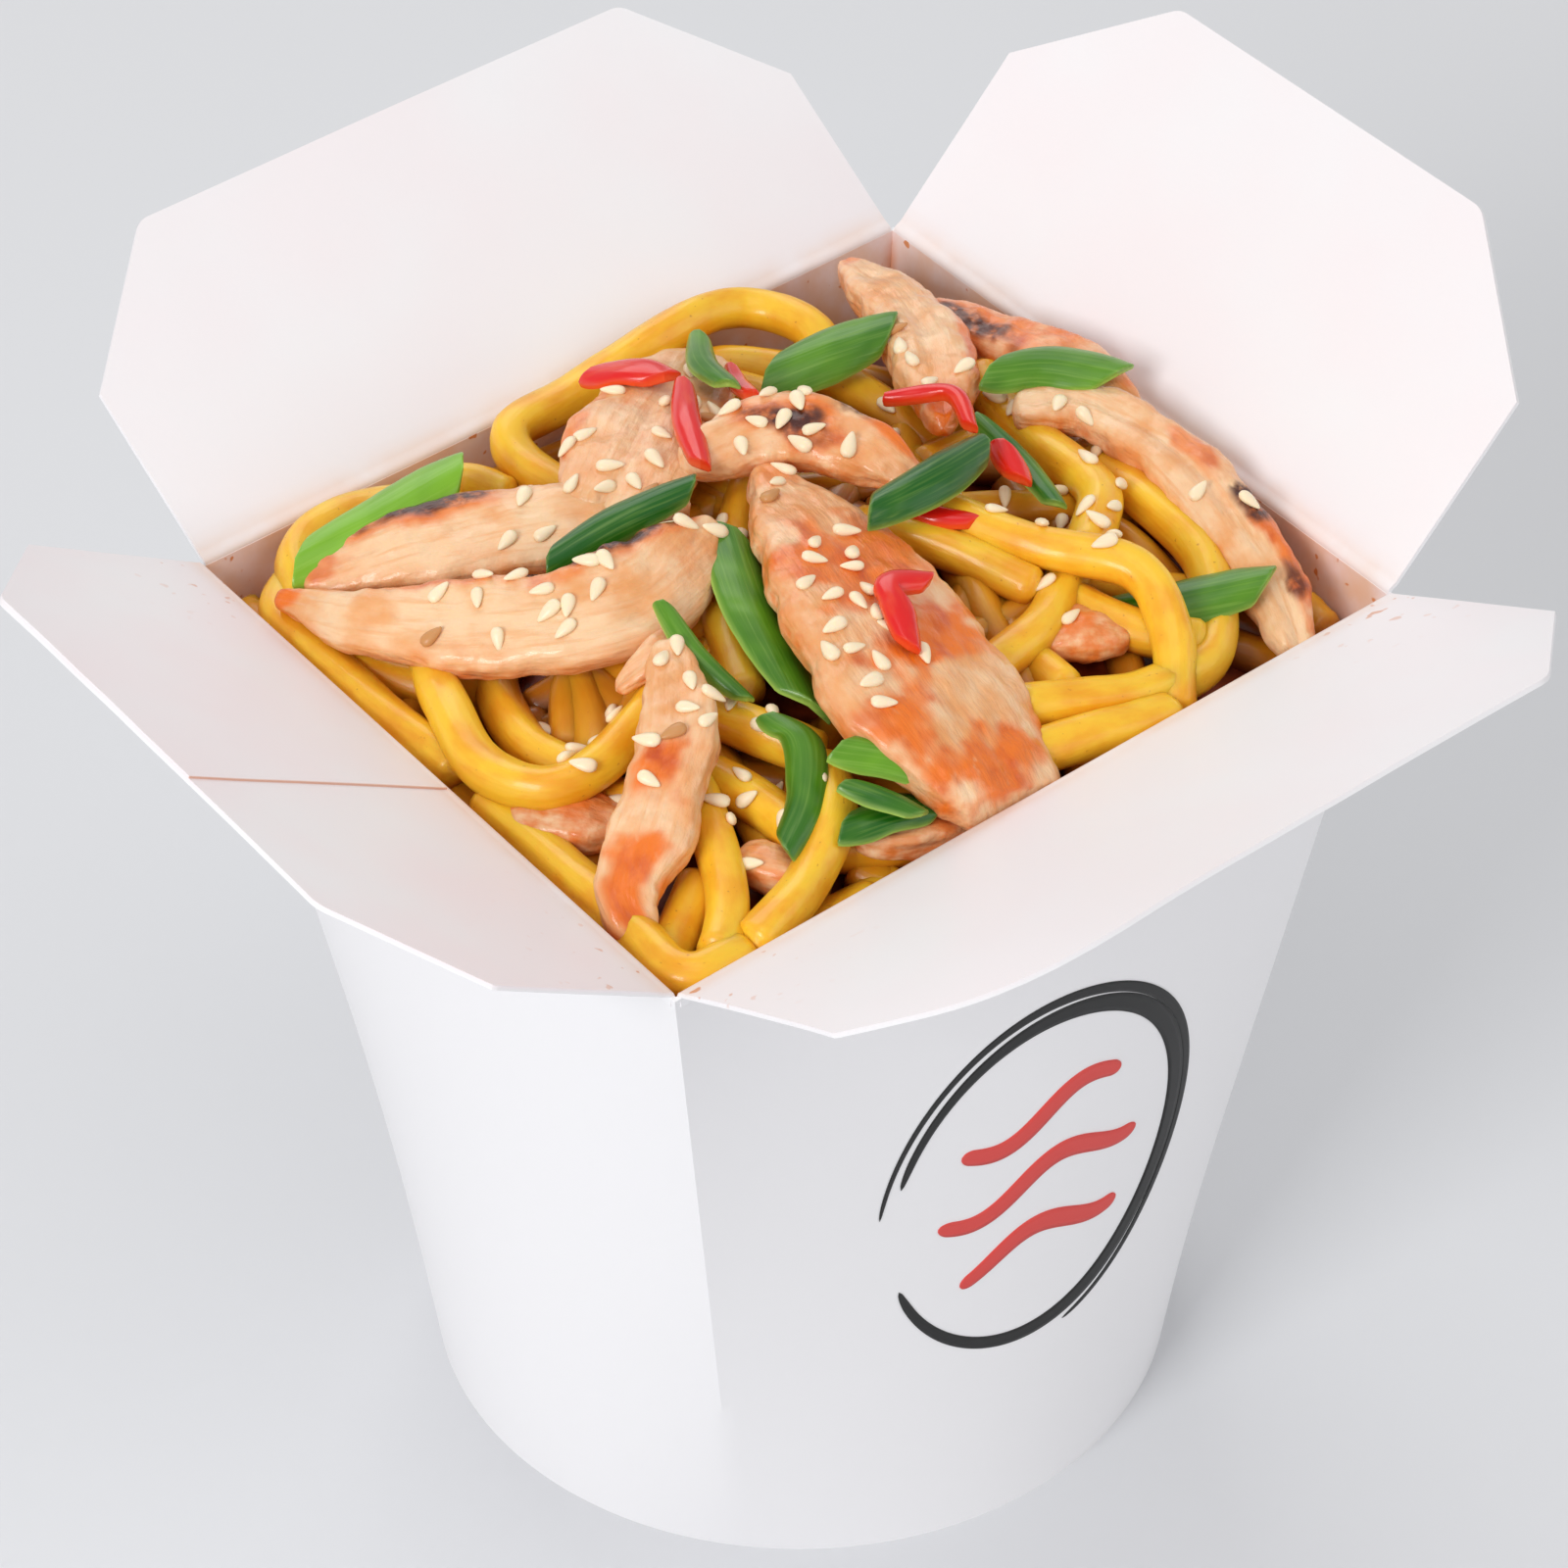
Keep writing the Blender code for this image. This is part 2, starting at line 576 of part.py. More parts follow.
def scatter_seeds(carriers, others):
    """Drop seeds on the food and join each to what it lands on, clear of every other piece."""
    draw = random.Random(21)
    trees = {item: surface(item) for item in carriers + others}
    placed = []
    groups = {item: collection("seeds_" + item.name) for item in carriers}
    for x, y, spread, count in SEED_PATCHES:
        for _ in range(count):
            above = Vector((draw.gauss(x, spread / 2), draw.gauss(y, spread / 2), BOX_HEIGHT + HEADROOM))
            heading = draw.uniform(0, math.tau)
            hits = []
            for item, tree in trees.items():
                point, normal, _, distance = tree.ray_cast(above * MM, Vector((0, 0, -1)))
                if point:
                    hits.append((distance, item, point, normal))
            if not hits:
                continue
            _, carrier, point, normal = min(hits, key=lambda hit: hit[0])
            crowded = any((point - other).length < SEED_SPACING * MM for other in placed)
            near = [tree.find_nearest(point)[3] for item, tree in trees.items() if item is not carrier]
            inner_x = (RIM_HALF_X - SEED_MARGIN) * MM
            inner_y = (RIM_HALF_Y - SEED_MARGIN) * MM
            outside = abs(point.x) > inner_x or abs(point.y) > inner_y
            steep = normal.z < STEEPEST_SEED
            if carrier in others or crowded or outside or steep or min(near) < SEED_ROOM * MM:
                continue
            seed("seed", point, normal, heading, groups[carrier])
            placed.append(point)
    for carrier, group in groups.items():
        if group.objects:
            boolean(carrier, "UNION", group)
        remove_all(group)


def trim(item, cutters, inside):
    """Cut an object back from grown copies of its neighbours and keep it inside the box."""
    if cutters.objects:
        boolean(item, "DIFFERENCE", cutters)
    boolean(item, "INTERSECT", inside)
    keep_largest(item)


def food(parts, tools):
    """All the food: toppings first, then the pieces and noodles that they press into."""
    inside = walled_solid("inside", CARD + GAP, CARD + GAP, BOX_HEIGHT + HEADROOM, tools)
    grown = collection("grown")
    toppings = []
    for table, skin, look in ((ONION, ONION_SKIN, "onion"), (CHILLI, CHILLI_SKIN, "chilli")):
        for name, shape in table.items():
            item = strip(name, shape, skin, parts)
            dress(item, look)
            strip(name + "_grown", shape, skin, grown, STRIP_GAP)
            toppings.append(item)
    pieces = []
    for name in reversed(CHICKEN):
        item = chicken(name, parts)
        trim(item, grown, inside)
        chicken(name, grown, GAP)
        pieces.append(item)
    noodles = heap(parts)
    trim(noodles, grown, inside)
    remove_all(grown)
    scatter_seeds(pieces + [noodles], toppings)
    for item in pieces:
        dress(item, "chicken")
    dress(noodles, "noodle")


def main():
    """Build the whole box."""
    clear_scene()
    parts = collection("noodle_takeaway_box")
    tools = collection("cutters")
    box_body(parts, tools)
    names = ("flap_front", "flap_right", "flap_back", "flap_left")
    corners = [corner + Vector((0, 0, BOX_HEIGHT)) for corner in rim_corners(0)]
    for index, name in enumerate(names):
        flap(name, corners[index], corners[(index + 1) % 4], parts)
    food(parts, tools)
    for item in tools.objects:
        item.hide_render = True
        item.display_type = "WIRE"


main()
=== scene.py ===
"""Looks of an open noodle takeaway box: card, noodles, chicken, spring onion, chilli and sesame.

Lengths are millimetres in the box's own frame, +Z up, and turn to metres where a mesh is made.
A food route is a list of (x, y, rise), where rise is the height above the box's rim.
"""

import logging
import math
import random
from dataclasses import dataclass
from enum import Enum

import bpy
import numpy as np
from mathutils import Matrix, Vector
from mathutils.bvhtree import BVHTree


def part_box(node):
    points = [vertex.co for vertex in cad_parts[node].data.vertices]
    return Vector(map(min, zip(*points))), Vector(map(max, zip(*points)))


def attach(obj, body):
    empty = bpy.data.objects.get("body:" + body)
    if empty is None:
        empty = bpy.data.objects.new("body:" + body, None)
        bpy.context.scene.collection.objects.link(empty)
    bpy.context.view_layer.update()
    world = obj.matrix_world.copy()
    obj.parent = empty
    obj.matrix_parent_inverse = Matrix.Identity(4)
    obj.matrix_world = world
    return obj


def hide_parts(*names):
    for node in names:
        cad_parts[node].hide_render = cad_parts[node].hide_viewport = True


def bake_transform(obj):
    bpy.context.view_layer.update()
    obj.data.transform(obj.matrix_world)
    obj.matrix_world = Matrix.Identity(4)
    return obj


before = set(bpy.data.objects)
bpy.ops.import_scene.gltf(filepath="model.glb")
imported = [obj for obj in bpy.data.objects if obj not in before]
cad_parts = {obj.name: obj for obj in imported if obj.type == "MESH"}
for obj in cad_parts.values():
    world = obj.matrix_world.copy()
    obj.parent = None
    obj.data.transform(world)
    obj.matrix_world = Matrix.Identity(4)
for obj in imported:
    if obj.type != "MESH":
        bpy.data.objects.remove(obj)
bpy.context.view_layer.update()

LOG = logging.getLogger("noodle_takeaway_box")
MM = 0.001
UP = np.array([0.0, 0.0, 1.0])

# Steps that a smooth route takes between two of its points
CURVE_STEPS = 48

# A film of oil or sauce is nearly smooth, and in food red light travels furthest
COAT_ROUGHNESS = 0.12
SCATTER_SHARES = (1.0, 0.45, 0.2)

# Odd factors that mix a cell's indices and seed into 32 bits that look random
AXIS_FACTORS = (374761393, 668265263, 2147483629)
SEED_FACTOR = 974634777
MIX_FACTOR = 1274126177
LOW_BITS = 0xFFFFFFFF
HALF_RANGE = 0x7FFFFFFF

# Part of a turn that spreads counted things most evenly
GOLDEN_SHARE = 0.618

Route = list[tuple[float, float, float]]


class Cap(Enum):
    """How the two ends of a closed tube of rings are shut."""

    POLE = "a fan to one point in the middle of the end ring"
    STRIP = "a band between the upper and lower half of the end ring"


class Mark(Enum):
    """What the grill leaves on chicken. The value names the mesh attribute that holds it."""

    SEAR = "sear"
    CHAR = "char"


class Space(Enum):
    """What a pattern's places are measured in."""

    BOX = "metres in the box's own frame"
    PIECE = "mm along, across and over a piece, from the mesh attribute named grain"


def linear(code: str) -> tuple[float, float, float, float]:
    """Turn an sRGB hex colour into the linear values that a shader takes.

    Args:
        code: the colour, such as "#f4f4f5".

    Returns:
        Linear red, green, blue, and an alpha of 1.
    """
    parts = [int(code[place:place + 2], 16) / 255 for place in (1, 3, 5)]
    bright = [part / 12.92 if part <= 0.04045 else ((part + 0.055) / 1.055) ** 2.4 for part in parts]
    return bright[0], bright[1], bright[2], 1.0


def lattice(cells: np.ndarray, seed: int) -> np.ndarray:
    """Give each whole-number cell a repeatable random value.

    The three indices and the seed are mixed by multiplying, shifting and exclusive or.

    Args:
        cells: whole numbers, with the three indices on the last axis.
        seed: another seed gives other values.

    Returns:
        Values from -1 to 1, one for each cell.
    """
    mixed = (cells @ np.array(AXIS_FACTORS) + seed * SEED_FACTOR) & LOW_BITS
    mixed = ((mixed ^ (mixed >> 13)) * MIX_FACTOR) & LOW_BITS
    return (mixed ^ (mixed >> 16)) / HALF_RANGE - 1.0


def noise(points: np.ndarray, size: float, seed: int) -> np.ndarray:
    """Smooth value noise: lattice values blended across each cell by 3t squared less 2t cubed.

    Args:
        points: places in mm, with x, y and z on the last axis.
        size: the width of one cell in mm.
        seed: another seed gives another pattern.

    Returns:
        Values from -1 to 1, one for each place.
    """
    scaled = points / size
    base = np.floor(scaled).astype(np.int64)
    part = scaled - base
    part = part * part * (3 - 2 * part)
    total = np.zeros(points.shape[:-1])
    for corner in np.ndindex(2, 2, 2):
        step = np.array(corner)
        weight = np.prod(np.where(step == 1, part, 1 - part), axis=-1)
        total += weight * lattice(base + step, seed)
    return total


def fractal(points: np.ndarray, size: float, seed: int, octaves: int = 3) -> np.ndarray:
    """Sum of noises, each half as large and half as strong as the one before.

    Args:
        points: places in mm.
        size: the cell of the coarsest noise in mm.
        seed: seed of the coarsest noise.
        octaves: how many noises are summed.

    Returns:
        Values of about -1 to 1.
    """
    total = np.zeros(points.shape[:-1])
    for octave in range(octaves):
        total += noise(points, size / 2 ** octave, seed + octave) / 2 ** octave
    return total / (2 - 2 / 2 ** octaves)


@dataclass(frozen=True)
class Unevenness:
    """Fractal noise of a real size: the coarsest cell in mm, and the most that it adds to a value."""

    size: float
    amount: float
    seed: int
    octaves: int = 3

    def at(self, points: np.ndarray, more: int = 0) -> np.ndarray:
        """The noise at each place: amount x fractal noise, with more added to the seed."""
        return self.amount * fractal(points, self.size, self.seed + more, self.octaves)


def smooth_route(points: Route, count: int, height: float) -> np.ndarray:
    """Catmull-Rom curve through the points, read off at even steps of its length.

    Each span is half of: 2 b + (c - a) t + (2a - 5b + 4c - d) t squared + (3b - a - 3c + d) t cubed.

    Args:
        points: (x, y, rise) of the points that the route passes through.
        count: how many places are read off.
        height: added to each rise.

    Returns:
        An array of count places.
    """
    knots = np.array(points, float) + np.array([0, 0, height])
    knots = np.vstack([2 * knots[0] - knots[1], knots, 2 * knots[-1] - knots[-2]])
    a, b, c, d = (knots[start:len(knots) - 3 + start, None] for start in range(4))
    t = np.linspace(0, 1, CURVE_STEPS, endpoint=False)[None, :, None]
    spans = 2 * b + (c - a) * t + (2 * a - 5 * b + 4 * c - d) * t ** 2
    spans = (spans + (3 * b - a - 3 * c + d) * t ** 3) / 2
    dense = np.vstack([spans.reshape(-1, 3), knots[-2]])
    gone = np.concatenate([[0.0], np.cumsum(np.linalg.norm(np.diff(dense, axis=0), axis=1))])
    even = np.linspace(0, gone[-1], count)
    return np.stack([np.interp(even, gone, dense[:, axis]) for axis in range(3)], axis=-1)


def route_length(points: Route) -> float:
    """Length in mm of the straight lines between a route's points."""
    return float(np.linalg.norm(np.diff(np.array(points, float), axis=0), axis=1).sum())


def unit(vectors: np.ndarray) -> np.ndarray:
    """Vectors of length one, in the same directions."""
    return vectors / np.maximum(np.linalg.norm(vectors, axis=-1, keepdims=True), 1e-9)


def section_frames(route: np.ndarray, roll: float) -> tuple[np.ndarray, np.ndarray, np.ndarray]:
    """Directions at each place of a route.

    Across is ahead x up, turned about ahead by roll, and over is across x ahead.

    Args:
        route: places along the route.
        roll: how far the section leans, in degrees.

    Returns:
        The directions ahead, across and over.
    """
    ahead = unit(np.gradient(route, axis=0))
    flat = unit(np.cross(ahead, UP))
    lean = math.radians(roll)
    across = flat * math.cos(lean) + np.cross(ahead, flat) * math.sin(lean)
    return ahead, across, np.cross(across, ahead)


def swell(share: np.ndarray, trim: float, power: float) -> np.ndarray:
    """Part of full size along a piece: a half sine wave, cut short by trim at both ends, to a power."""
    return np.sin(math.pi * (trim + (1 - 2 * trim) * share)) ** power


def blunt(share: np.ndarray, end: float) -> np.ndarray:
    """Shrink to nothing over the last end of both ends of a piece, as a quarter circle does."""
    into = np.clip(1 - np.minimum(share, 1 - share) / end, 0, 1)
    return np.sqrt(np.maximum(1 - into ** 2, 0.0))


def superellipse(turn: np.ndarray, power: float) -> np.ndarray:
    """Radius of a squarish circle: (|cos| to the power + |sin| to the power) to the -1 / power."""
    return (np.abs(np.cos(turn)) ** power + np.abs(np.sin(turn)) ** power) ** (-1 / power)


def add_node(tree: bpy.types.NodeTree, kind: str, inputs: dict, **settings: object) -> bpy.types.Node:
    """Add a shader node, with its settings, input values and links.

    Args:
        tree: the material's node tree.
        kind: the node's type.
        inputs: value or output socket for each input, by its name or number.
        settings: the node's own properties.

    Returns:
        The new node.
    """
    made = tree.nodes.new(kind)
    for name, value in settings.items():
        setattr(made, name, value)
    for name, value in inputs.items():
        if isinstance(value, bpy.types.NodeSocket):
            tree.links.new(value, made.inputs[name])
        else:
            made.inputs[name].default_value = value
    return made


@dataclass(frozen=True)
class Pattern:
    """Fractal noise with cells of a real size in mm."""

    size: tuple[float, float, float]
    detail: float = 2.0
    space: Space = Space.PIECE

    def output(self, tree: bpy.types.NodeTree) -> bpy.types.NodeSocket:
        """Lay the noise out: each place is divided by the cell's size.

        Args:
            tree: the material's node tree.

        Returns:
            The noise's output, from 0 to 1 and mostly near 0.5.
        """
        if self.space is Space.BOX:
            place = add_node(tree, "ShaderNodeTexCoord", {}).outputs["Object"]
            scale = tuple(1 / (part * MM) for part in self.size)
        else:
            place = add_node(tree, "ShaderNodeAttribute", {}, attribute_name="grain").outputs["Vector"]
            scale = tuple(1 / part for part in self.size)
        mapped = add_node(tree, "ShaderNodeMapping", {"Vector": place, "Scale": scale})
        inputs = {"Vector": mapped.outputs[0], "Scale": 1.0, "Detail": self.detail}
        return add_node(tree, "ShaderNodeTexNoise", inputs).outputs[0]


@dataclass(frozen=True)
class Layer:
    """A colour over those below it, where a pattern or one of the mesh's own values is high."""

    colour: str
    pattern: Pattern | None = None
    value: str = ""
    low: float = 0.0
    high: float = 1.0
    strength: float = 1.0

    def lay(self, tree: bpy.types.NodeTree, base: object) -> bpy.types.NodeSocket:
        """Mix the colour over the base.

        Its share is strength x the mesh's value x a smooth step of the pattern from low to high.
        With no pattern the smooth step is the value's own.

        Args:
            tree: the material's node tree.
            base: the colour below, as an output or as fixed values.

        Returns:
            The mixed colour.
        """
        held = None
        if self.value:
            held = add_node(tree, "ShaderNodeAttribute", {}, attribute_name=self.value).outputs["Fac"]
        source = self.pattern.output(tree) if self.pattern else held
        steps = {0: source, 1: self.low, 2: self.high, 3: 0.0, 4: self.strength}
        mask = add_node(tree, "ShaderNodeMapRange", steps, interpolation_type="SMOOTHSTEP").outputs[0]
        if self.pattern and held:
            mask = add_node(tree, "ShaderNodeMath", {0: mask, 1: held}, operation="MULTIPLY").outputs[0]
        inputs = {0: mask, 6: base, 7: linear(self.colour)}
        return add_node(tree, "ShaderNodeMix", inputs, data_type="RGBA").outputs[2]


@dataclass(frozen=True)
class Finish:
    """A surface's base values. A subclass gives the colours laid over them and the bumps."""

    name: str
    colour: str
    roughness: float
    ior: float = 1.5
    coat: float = 0.0
    subsurface: float = 0.0
    scatter: float = 0.0

    def layers(self) -> list[Layer]:
        """No colours over the base."""
        return []

    def bumps(self) -> list[tuple[Pattern, float]]:
        """No bumps."""
        return []

    def material(self) -> bpy.types.Material:
        """Make the material, or find it if it was made before.

        Returns:
            The material.
        """
        found = bpy.data.materials.get(self.name)
        if found:
            return found
        made = bpy.data.materials.new(self.name)
        made.use_nodes = True
        tree = made.node_tree
        shader = tree.nodes["Principled BSDF"]
        shader.inputs["Base Color"].default_value = linear(self.colour)
        shader.inputs["Roughness"].default_value = self.roughness
        shader.inputs["IOR"].default_value = self.ior
        shader.inputs["Coat Weight"].default_value = self.coat
        shader.inputs["Coat Roughness"].default_value = COAT_ROUGHNESS
        shader.inputs["Subsurface Weight"].default_value = self.subsurface
        shader.inputs["Subsurface Radius"].default_value = SCATTER_SHARES
        shader.inputs["Subsurface Scale"].default_value = self.scatter * MM
        colour = linear(self.colour)
        for layer in self.layers():
            colour = layer.lay(tree, colour)
            tree.links.new(colour, shader.inputs["Base Color"])
        below = {}
        for pattern, depth in self.bumps():
            inputs = {"Height": pattern.output(tree), "Distance": depth * MM, **below}
            below = {"Normal": add_node(tree, "ShaderNodeBump", inputs).outputs[0]}
            tree.links.new(below["Normal"], shader.inputs["Normal"])
        return made


@dataclass(frozen=True)
class CoatedCard(Finish):
    """Clay-coated paperboard, rolled smooth: bright, faintly satin, marked where sauce touched it, with
    painted shade at each flap's fold.
    """

    warm: str = "#fae6e9"
    # Tan of grease inside the carton, also painted as shade in the crease of each flap's fold
    grease_and_shade_tan: str = "#ecbb92"
    sauce: str = "#d9843f"

    def layers(self) -> list[Layer]:
        """Clouds of warmth inside, greasy smears and the flaps' painted fold shade by one value, sauce specks
        by soil, and a line in the sauce colour by seam.

        Returns:
            The colours, from the lowest up.
        """
        return [
            Layer(self.warm, Pattern((22.0, 22.0, 22.0), 2.0, Space.BOX), "inner", 0.1, 0.75),
            # Grease smears inside the carton, and on the flaps painted shade along the fold's crease
            Layer(self.grease_and_shade_tan, Pattern((8.0, 8.0, 8.0), 4.0, Space.BOX), "grease_and_fold_shade", 0.2, 0.65),
            Layer(self.sauce, Pattern((1.6, 1.6, 1.6), 1.0, Space.BOX), "soil", 0.68, 0.74),
            Layer(self.sauce, value="seam"),
        ]

    def bumps(self) -> list[tuple[Pattern, float]]:
        """Paper fibres under the coat, drawn at 0.7 mm so that they show."""
        return [(Pattern((0.7, 0.7, 0.7), 3.0, Space.BOX), 0.012)]


@dataclass(frozen=True)
class WheatNoodle(Finish):
    """Boiled egg noodle in oil and sauce: translucent yellow, browner deep in the heap as sauce soak and
    painted shade.
    """

    deep: str = "#f0a51c"
    fleck: str = "#b86c1c"
    amber: str = "#cf7f17"
    soaked_and_shaded: str = "#66230a"

    def layers(self) -> list[Layer]:
        """Mottled yellow with fine flecks, turning amber and then brown with sauce soak and painted shade,
        deep in the heap and underneath.

        Returns:
            The colours, from the lowest up.
        """
        return [
            Layer(self.deep, Pattern((6.0, 3.0, 3.0), 3.0), low=0.35, high=0.75),
            Layer(self.fleck, Pattern((0.8, 0.6, 0.6), 1.0), low=0.72, high=0.8, strength=0.55),
            # Painted shade, partly sauce soak: amber and then dark brown where the noodle lies deep or faces
            # down
            Layer(self.amber, value="soak_and_shade", low=0.08, high=0.6, strength=0.9),
            Layer(self.soaked_and_shaded, value="soak_and_shade", low=0.35, high=1.0),
        ]

    def bumps(self) -> list[tuple[Pattern, float]]:
        """Long faint ridges from the cutter."""
        return [(Pattern((5.0, 0.9, 0.9), 4.0), 0.10)]


@dataclass(frozen=True)
class GrilledChicken(Finish):
    """Breast meat from a ridged grill, glazed: pale fibres, orange stripes and burnt edges."""

    tan: str = "#eca566"
    glaze: str = "#e6813a"
    sear: str = "#f0791c"
    singe: str = "#c23f12"
    char: str = "#471609"

    def layers(self) -> list[Layer]:
        """Tan clouds and fibres, then glaze, sear and char by the mesh's own values.

        Returns:
            The colours, from the lowest up.
        """
        crumb = Pattern((1.6, 1.3, 1.3), 3.0)
        return [
            Layer(self.tan, Pattern((6.0, 5.0, 5.0), 3.0), low=0.38, high=0.72),
            Layer(self.tan, Pattern((7.0, 0.8, 0.8), 4.0), low=0.48, high=0.7, strength=0.5),
            Layer(self.glaze, crumb, "glaze", 0.2, 0.7),
            Layer(self.sear, crumb, Mark.SEAR.value, 0.0, 0.4),
            Layer(self.singe, Pattern((4.0, 3.0, 3.0), 4.0), Mark.SEAR.value, 0.42, 0.8, 0.85),
            Layer(self.char, crumb, Mark.CHAR.value, 0.2, 0.55),
        ]

    def bumps(self) -> list[tuple[Pattern, float]]:
        """Long muscle fibres, with crumbly grilled skin over them."""
        return [(Pattern((7.0, 0.8, 0.8), 4.0), 0.2), (Pattern((1.2, 0.9, 0.9), 4.0), 0.2)]


@dataclass(frozen=True)
class CutLeaf(Finish):
    """Cut spring onion top: waxy green with fine long veins, paler along its cut edges."""

    light: str = "#88c228"
    rim: str = "#bbdd70"

    def layers(self) -> list[Layer]:
        """Green by the piece's tone, with long veins and a pale rim.

        Returns:
            The colours, from the lowest up.
        """
        return [
            Layer(self.light, value="tone"),
            Layer(self.rim, Pattern((14.0, 0.35, 0.35), 2.0), low=0.45, high=0.75, strength=0.14),
            Layer(self.rim, value="edge", strength=0.6),
        ]

    def bumps(self) -> list[tuple[Pattern, float]]:
        """Veins of the leaf."""
        return [(Pattern((9.0, 0.5, 0.5), 2.0), 0.06)]


@dataclass(frozen=True)
class ChilliSkin(Finish):
    """Sliced red chilli: glossy skin, with orange flesh at the cut edges."""

    flesh: str = "#f4622c"

    def layers(self) -> list[Layer]:
        """Red skin that turns to flesh in soft patches and at the edges.

        Returns:
            The colours, from the lowest up.
        """
        return [
            Layer(self.flesh, Pattern((4.0, 1.5, 1.5), 2.0), low=0.45, high=0.8, strength=0.3),
            Layer(self.flesh, value="edge", strength=0.75),
        ]

    def bumps(self) -> list[tuple[Pattern, float]]:
        """Faint long creases."""
        return [(Pattern((6.0, 0.6, 0.6), 2.0), 0.05)]


@dataclass(frozen=True)
class SesameHull(Finish):
    """Hulled sesame seed: waxy cream, some toasted brown."""

    toasted: str = "#c98a4c"

    def layers(self) -> list[Layer]:
        """Cream or brown by each seed's own tone."""
        return [Layer(self.toasted, value="tone")]


@dataclass(frozen=True)
class SauceAndShadeFilm(Finish):
    """Thick brown sauce between the noodles, wet, and dark as painted shade for the deep gaps among them."""

    oil: str = "#a8481a"

    def layers(self) -> list[Layer]:
        """Oily orange patches over the dark sauce and painted shade."""
        return [Layer(self.oil, Pattern((5.0, 5.0, 5.0), 4.0, Space.BOX), low=0.4, high=0.8)]

    def bumps(self) -> list[tuple[Pattern, float]]:
        """Pools and drips."""
        return [(Pattern((5.0, 5.0, 5.0), 4.0, Space.BOX), 0.3)]


CARD = CoatedCard("coated_card", "#f5f4f6", 0.42, ior=1.48)
NOODLE = WheatNoodle("boiled_egg_noodle", "#fcc832", 0.36, ior=1.42, coat=0.28, subsurface=0.3, scatter=2.0)
MEAT = GrilledChicken("grilled_chicken", "#f7d0a4", 0.36, ior=1.42, coat=0.4, subsurface=0.15, scatter=1.5)
LEAF = CutLeaf("cut_spring_onion", "#125a0c", 0.34, ior=1.42, coat=0.2)
SKIN = ChilliSkin("sliced_chilli", "#e2100f", 0.24, ior=1.45, coat=0.4)
HULL = SesameHull("hulled_sesame", "#fde9c6", 0.34, ior=1.47, subsurface=0.15, scatter=0.6)
# Painted shade, partly sauce: the core's dark brown shows in the gaps between noodles
SAUCE_AND_SHADE = SauceAndShadeFilm("brown_sauce_and_painted_shade", "#541a08", 0.4, ior=1.35, coat=0.1)

# Offset ink dries to a flat colour, duller than the coated card round it
BLACK_INK = Finish("black_offset_ink", "#141414", 0.5)
RED_INK = Finish("red_offset_ink", "#df4640", 0.5)

# Matt paint, pale and even, so that only the box's soft shadow shows on it
FLOOR = Finish("painted_floor", "#dcdde0", 0.6)


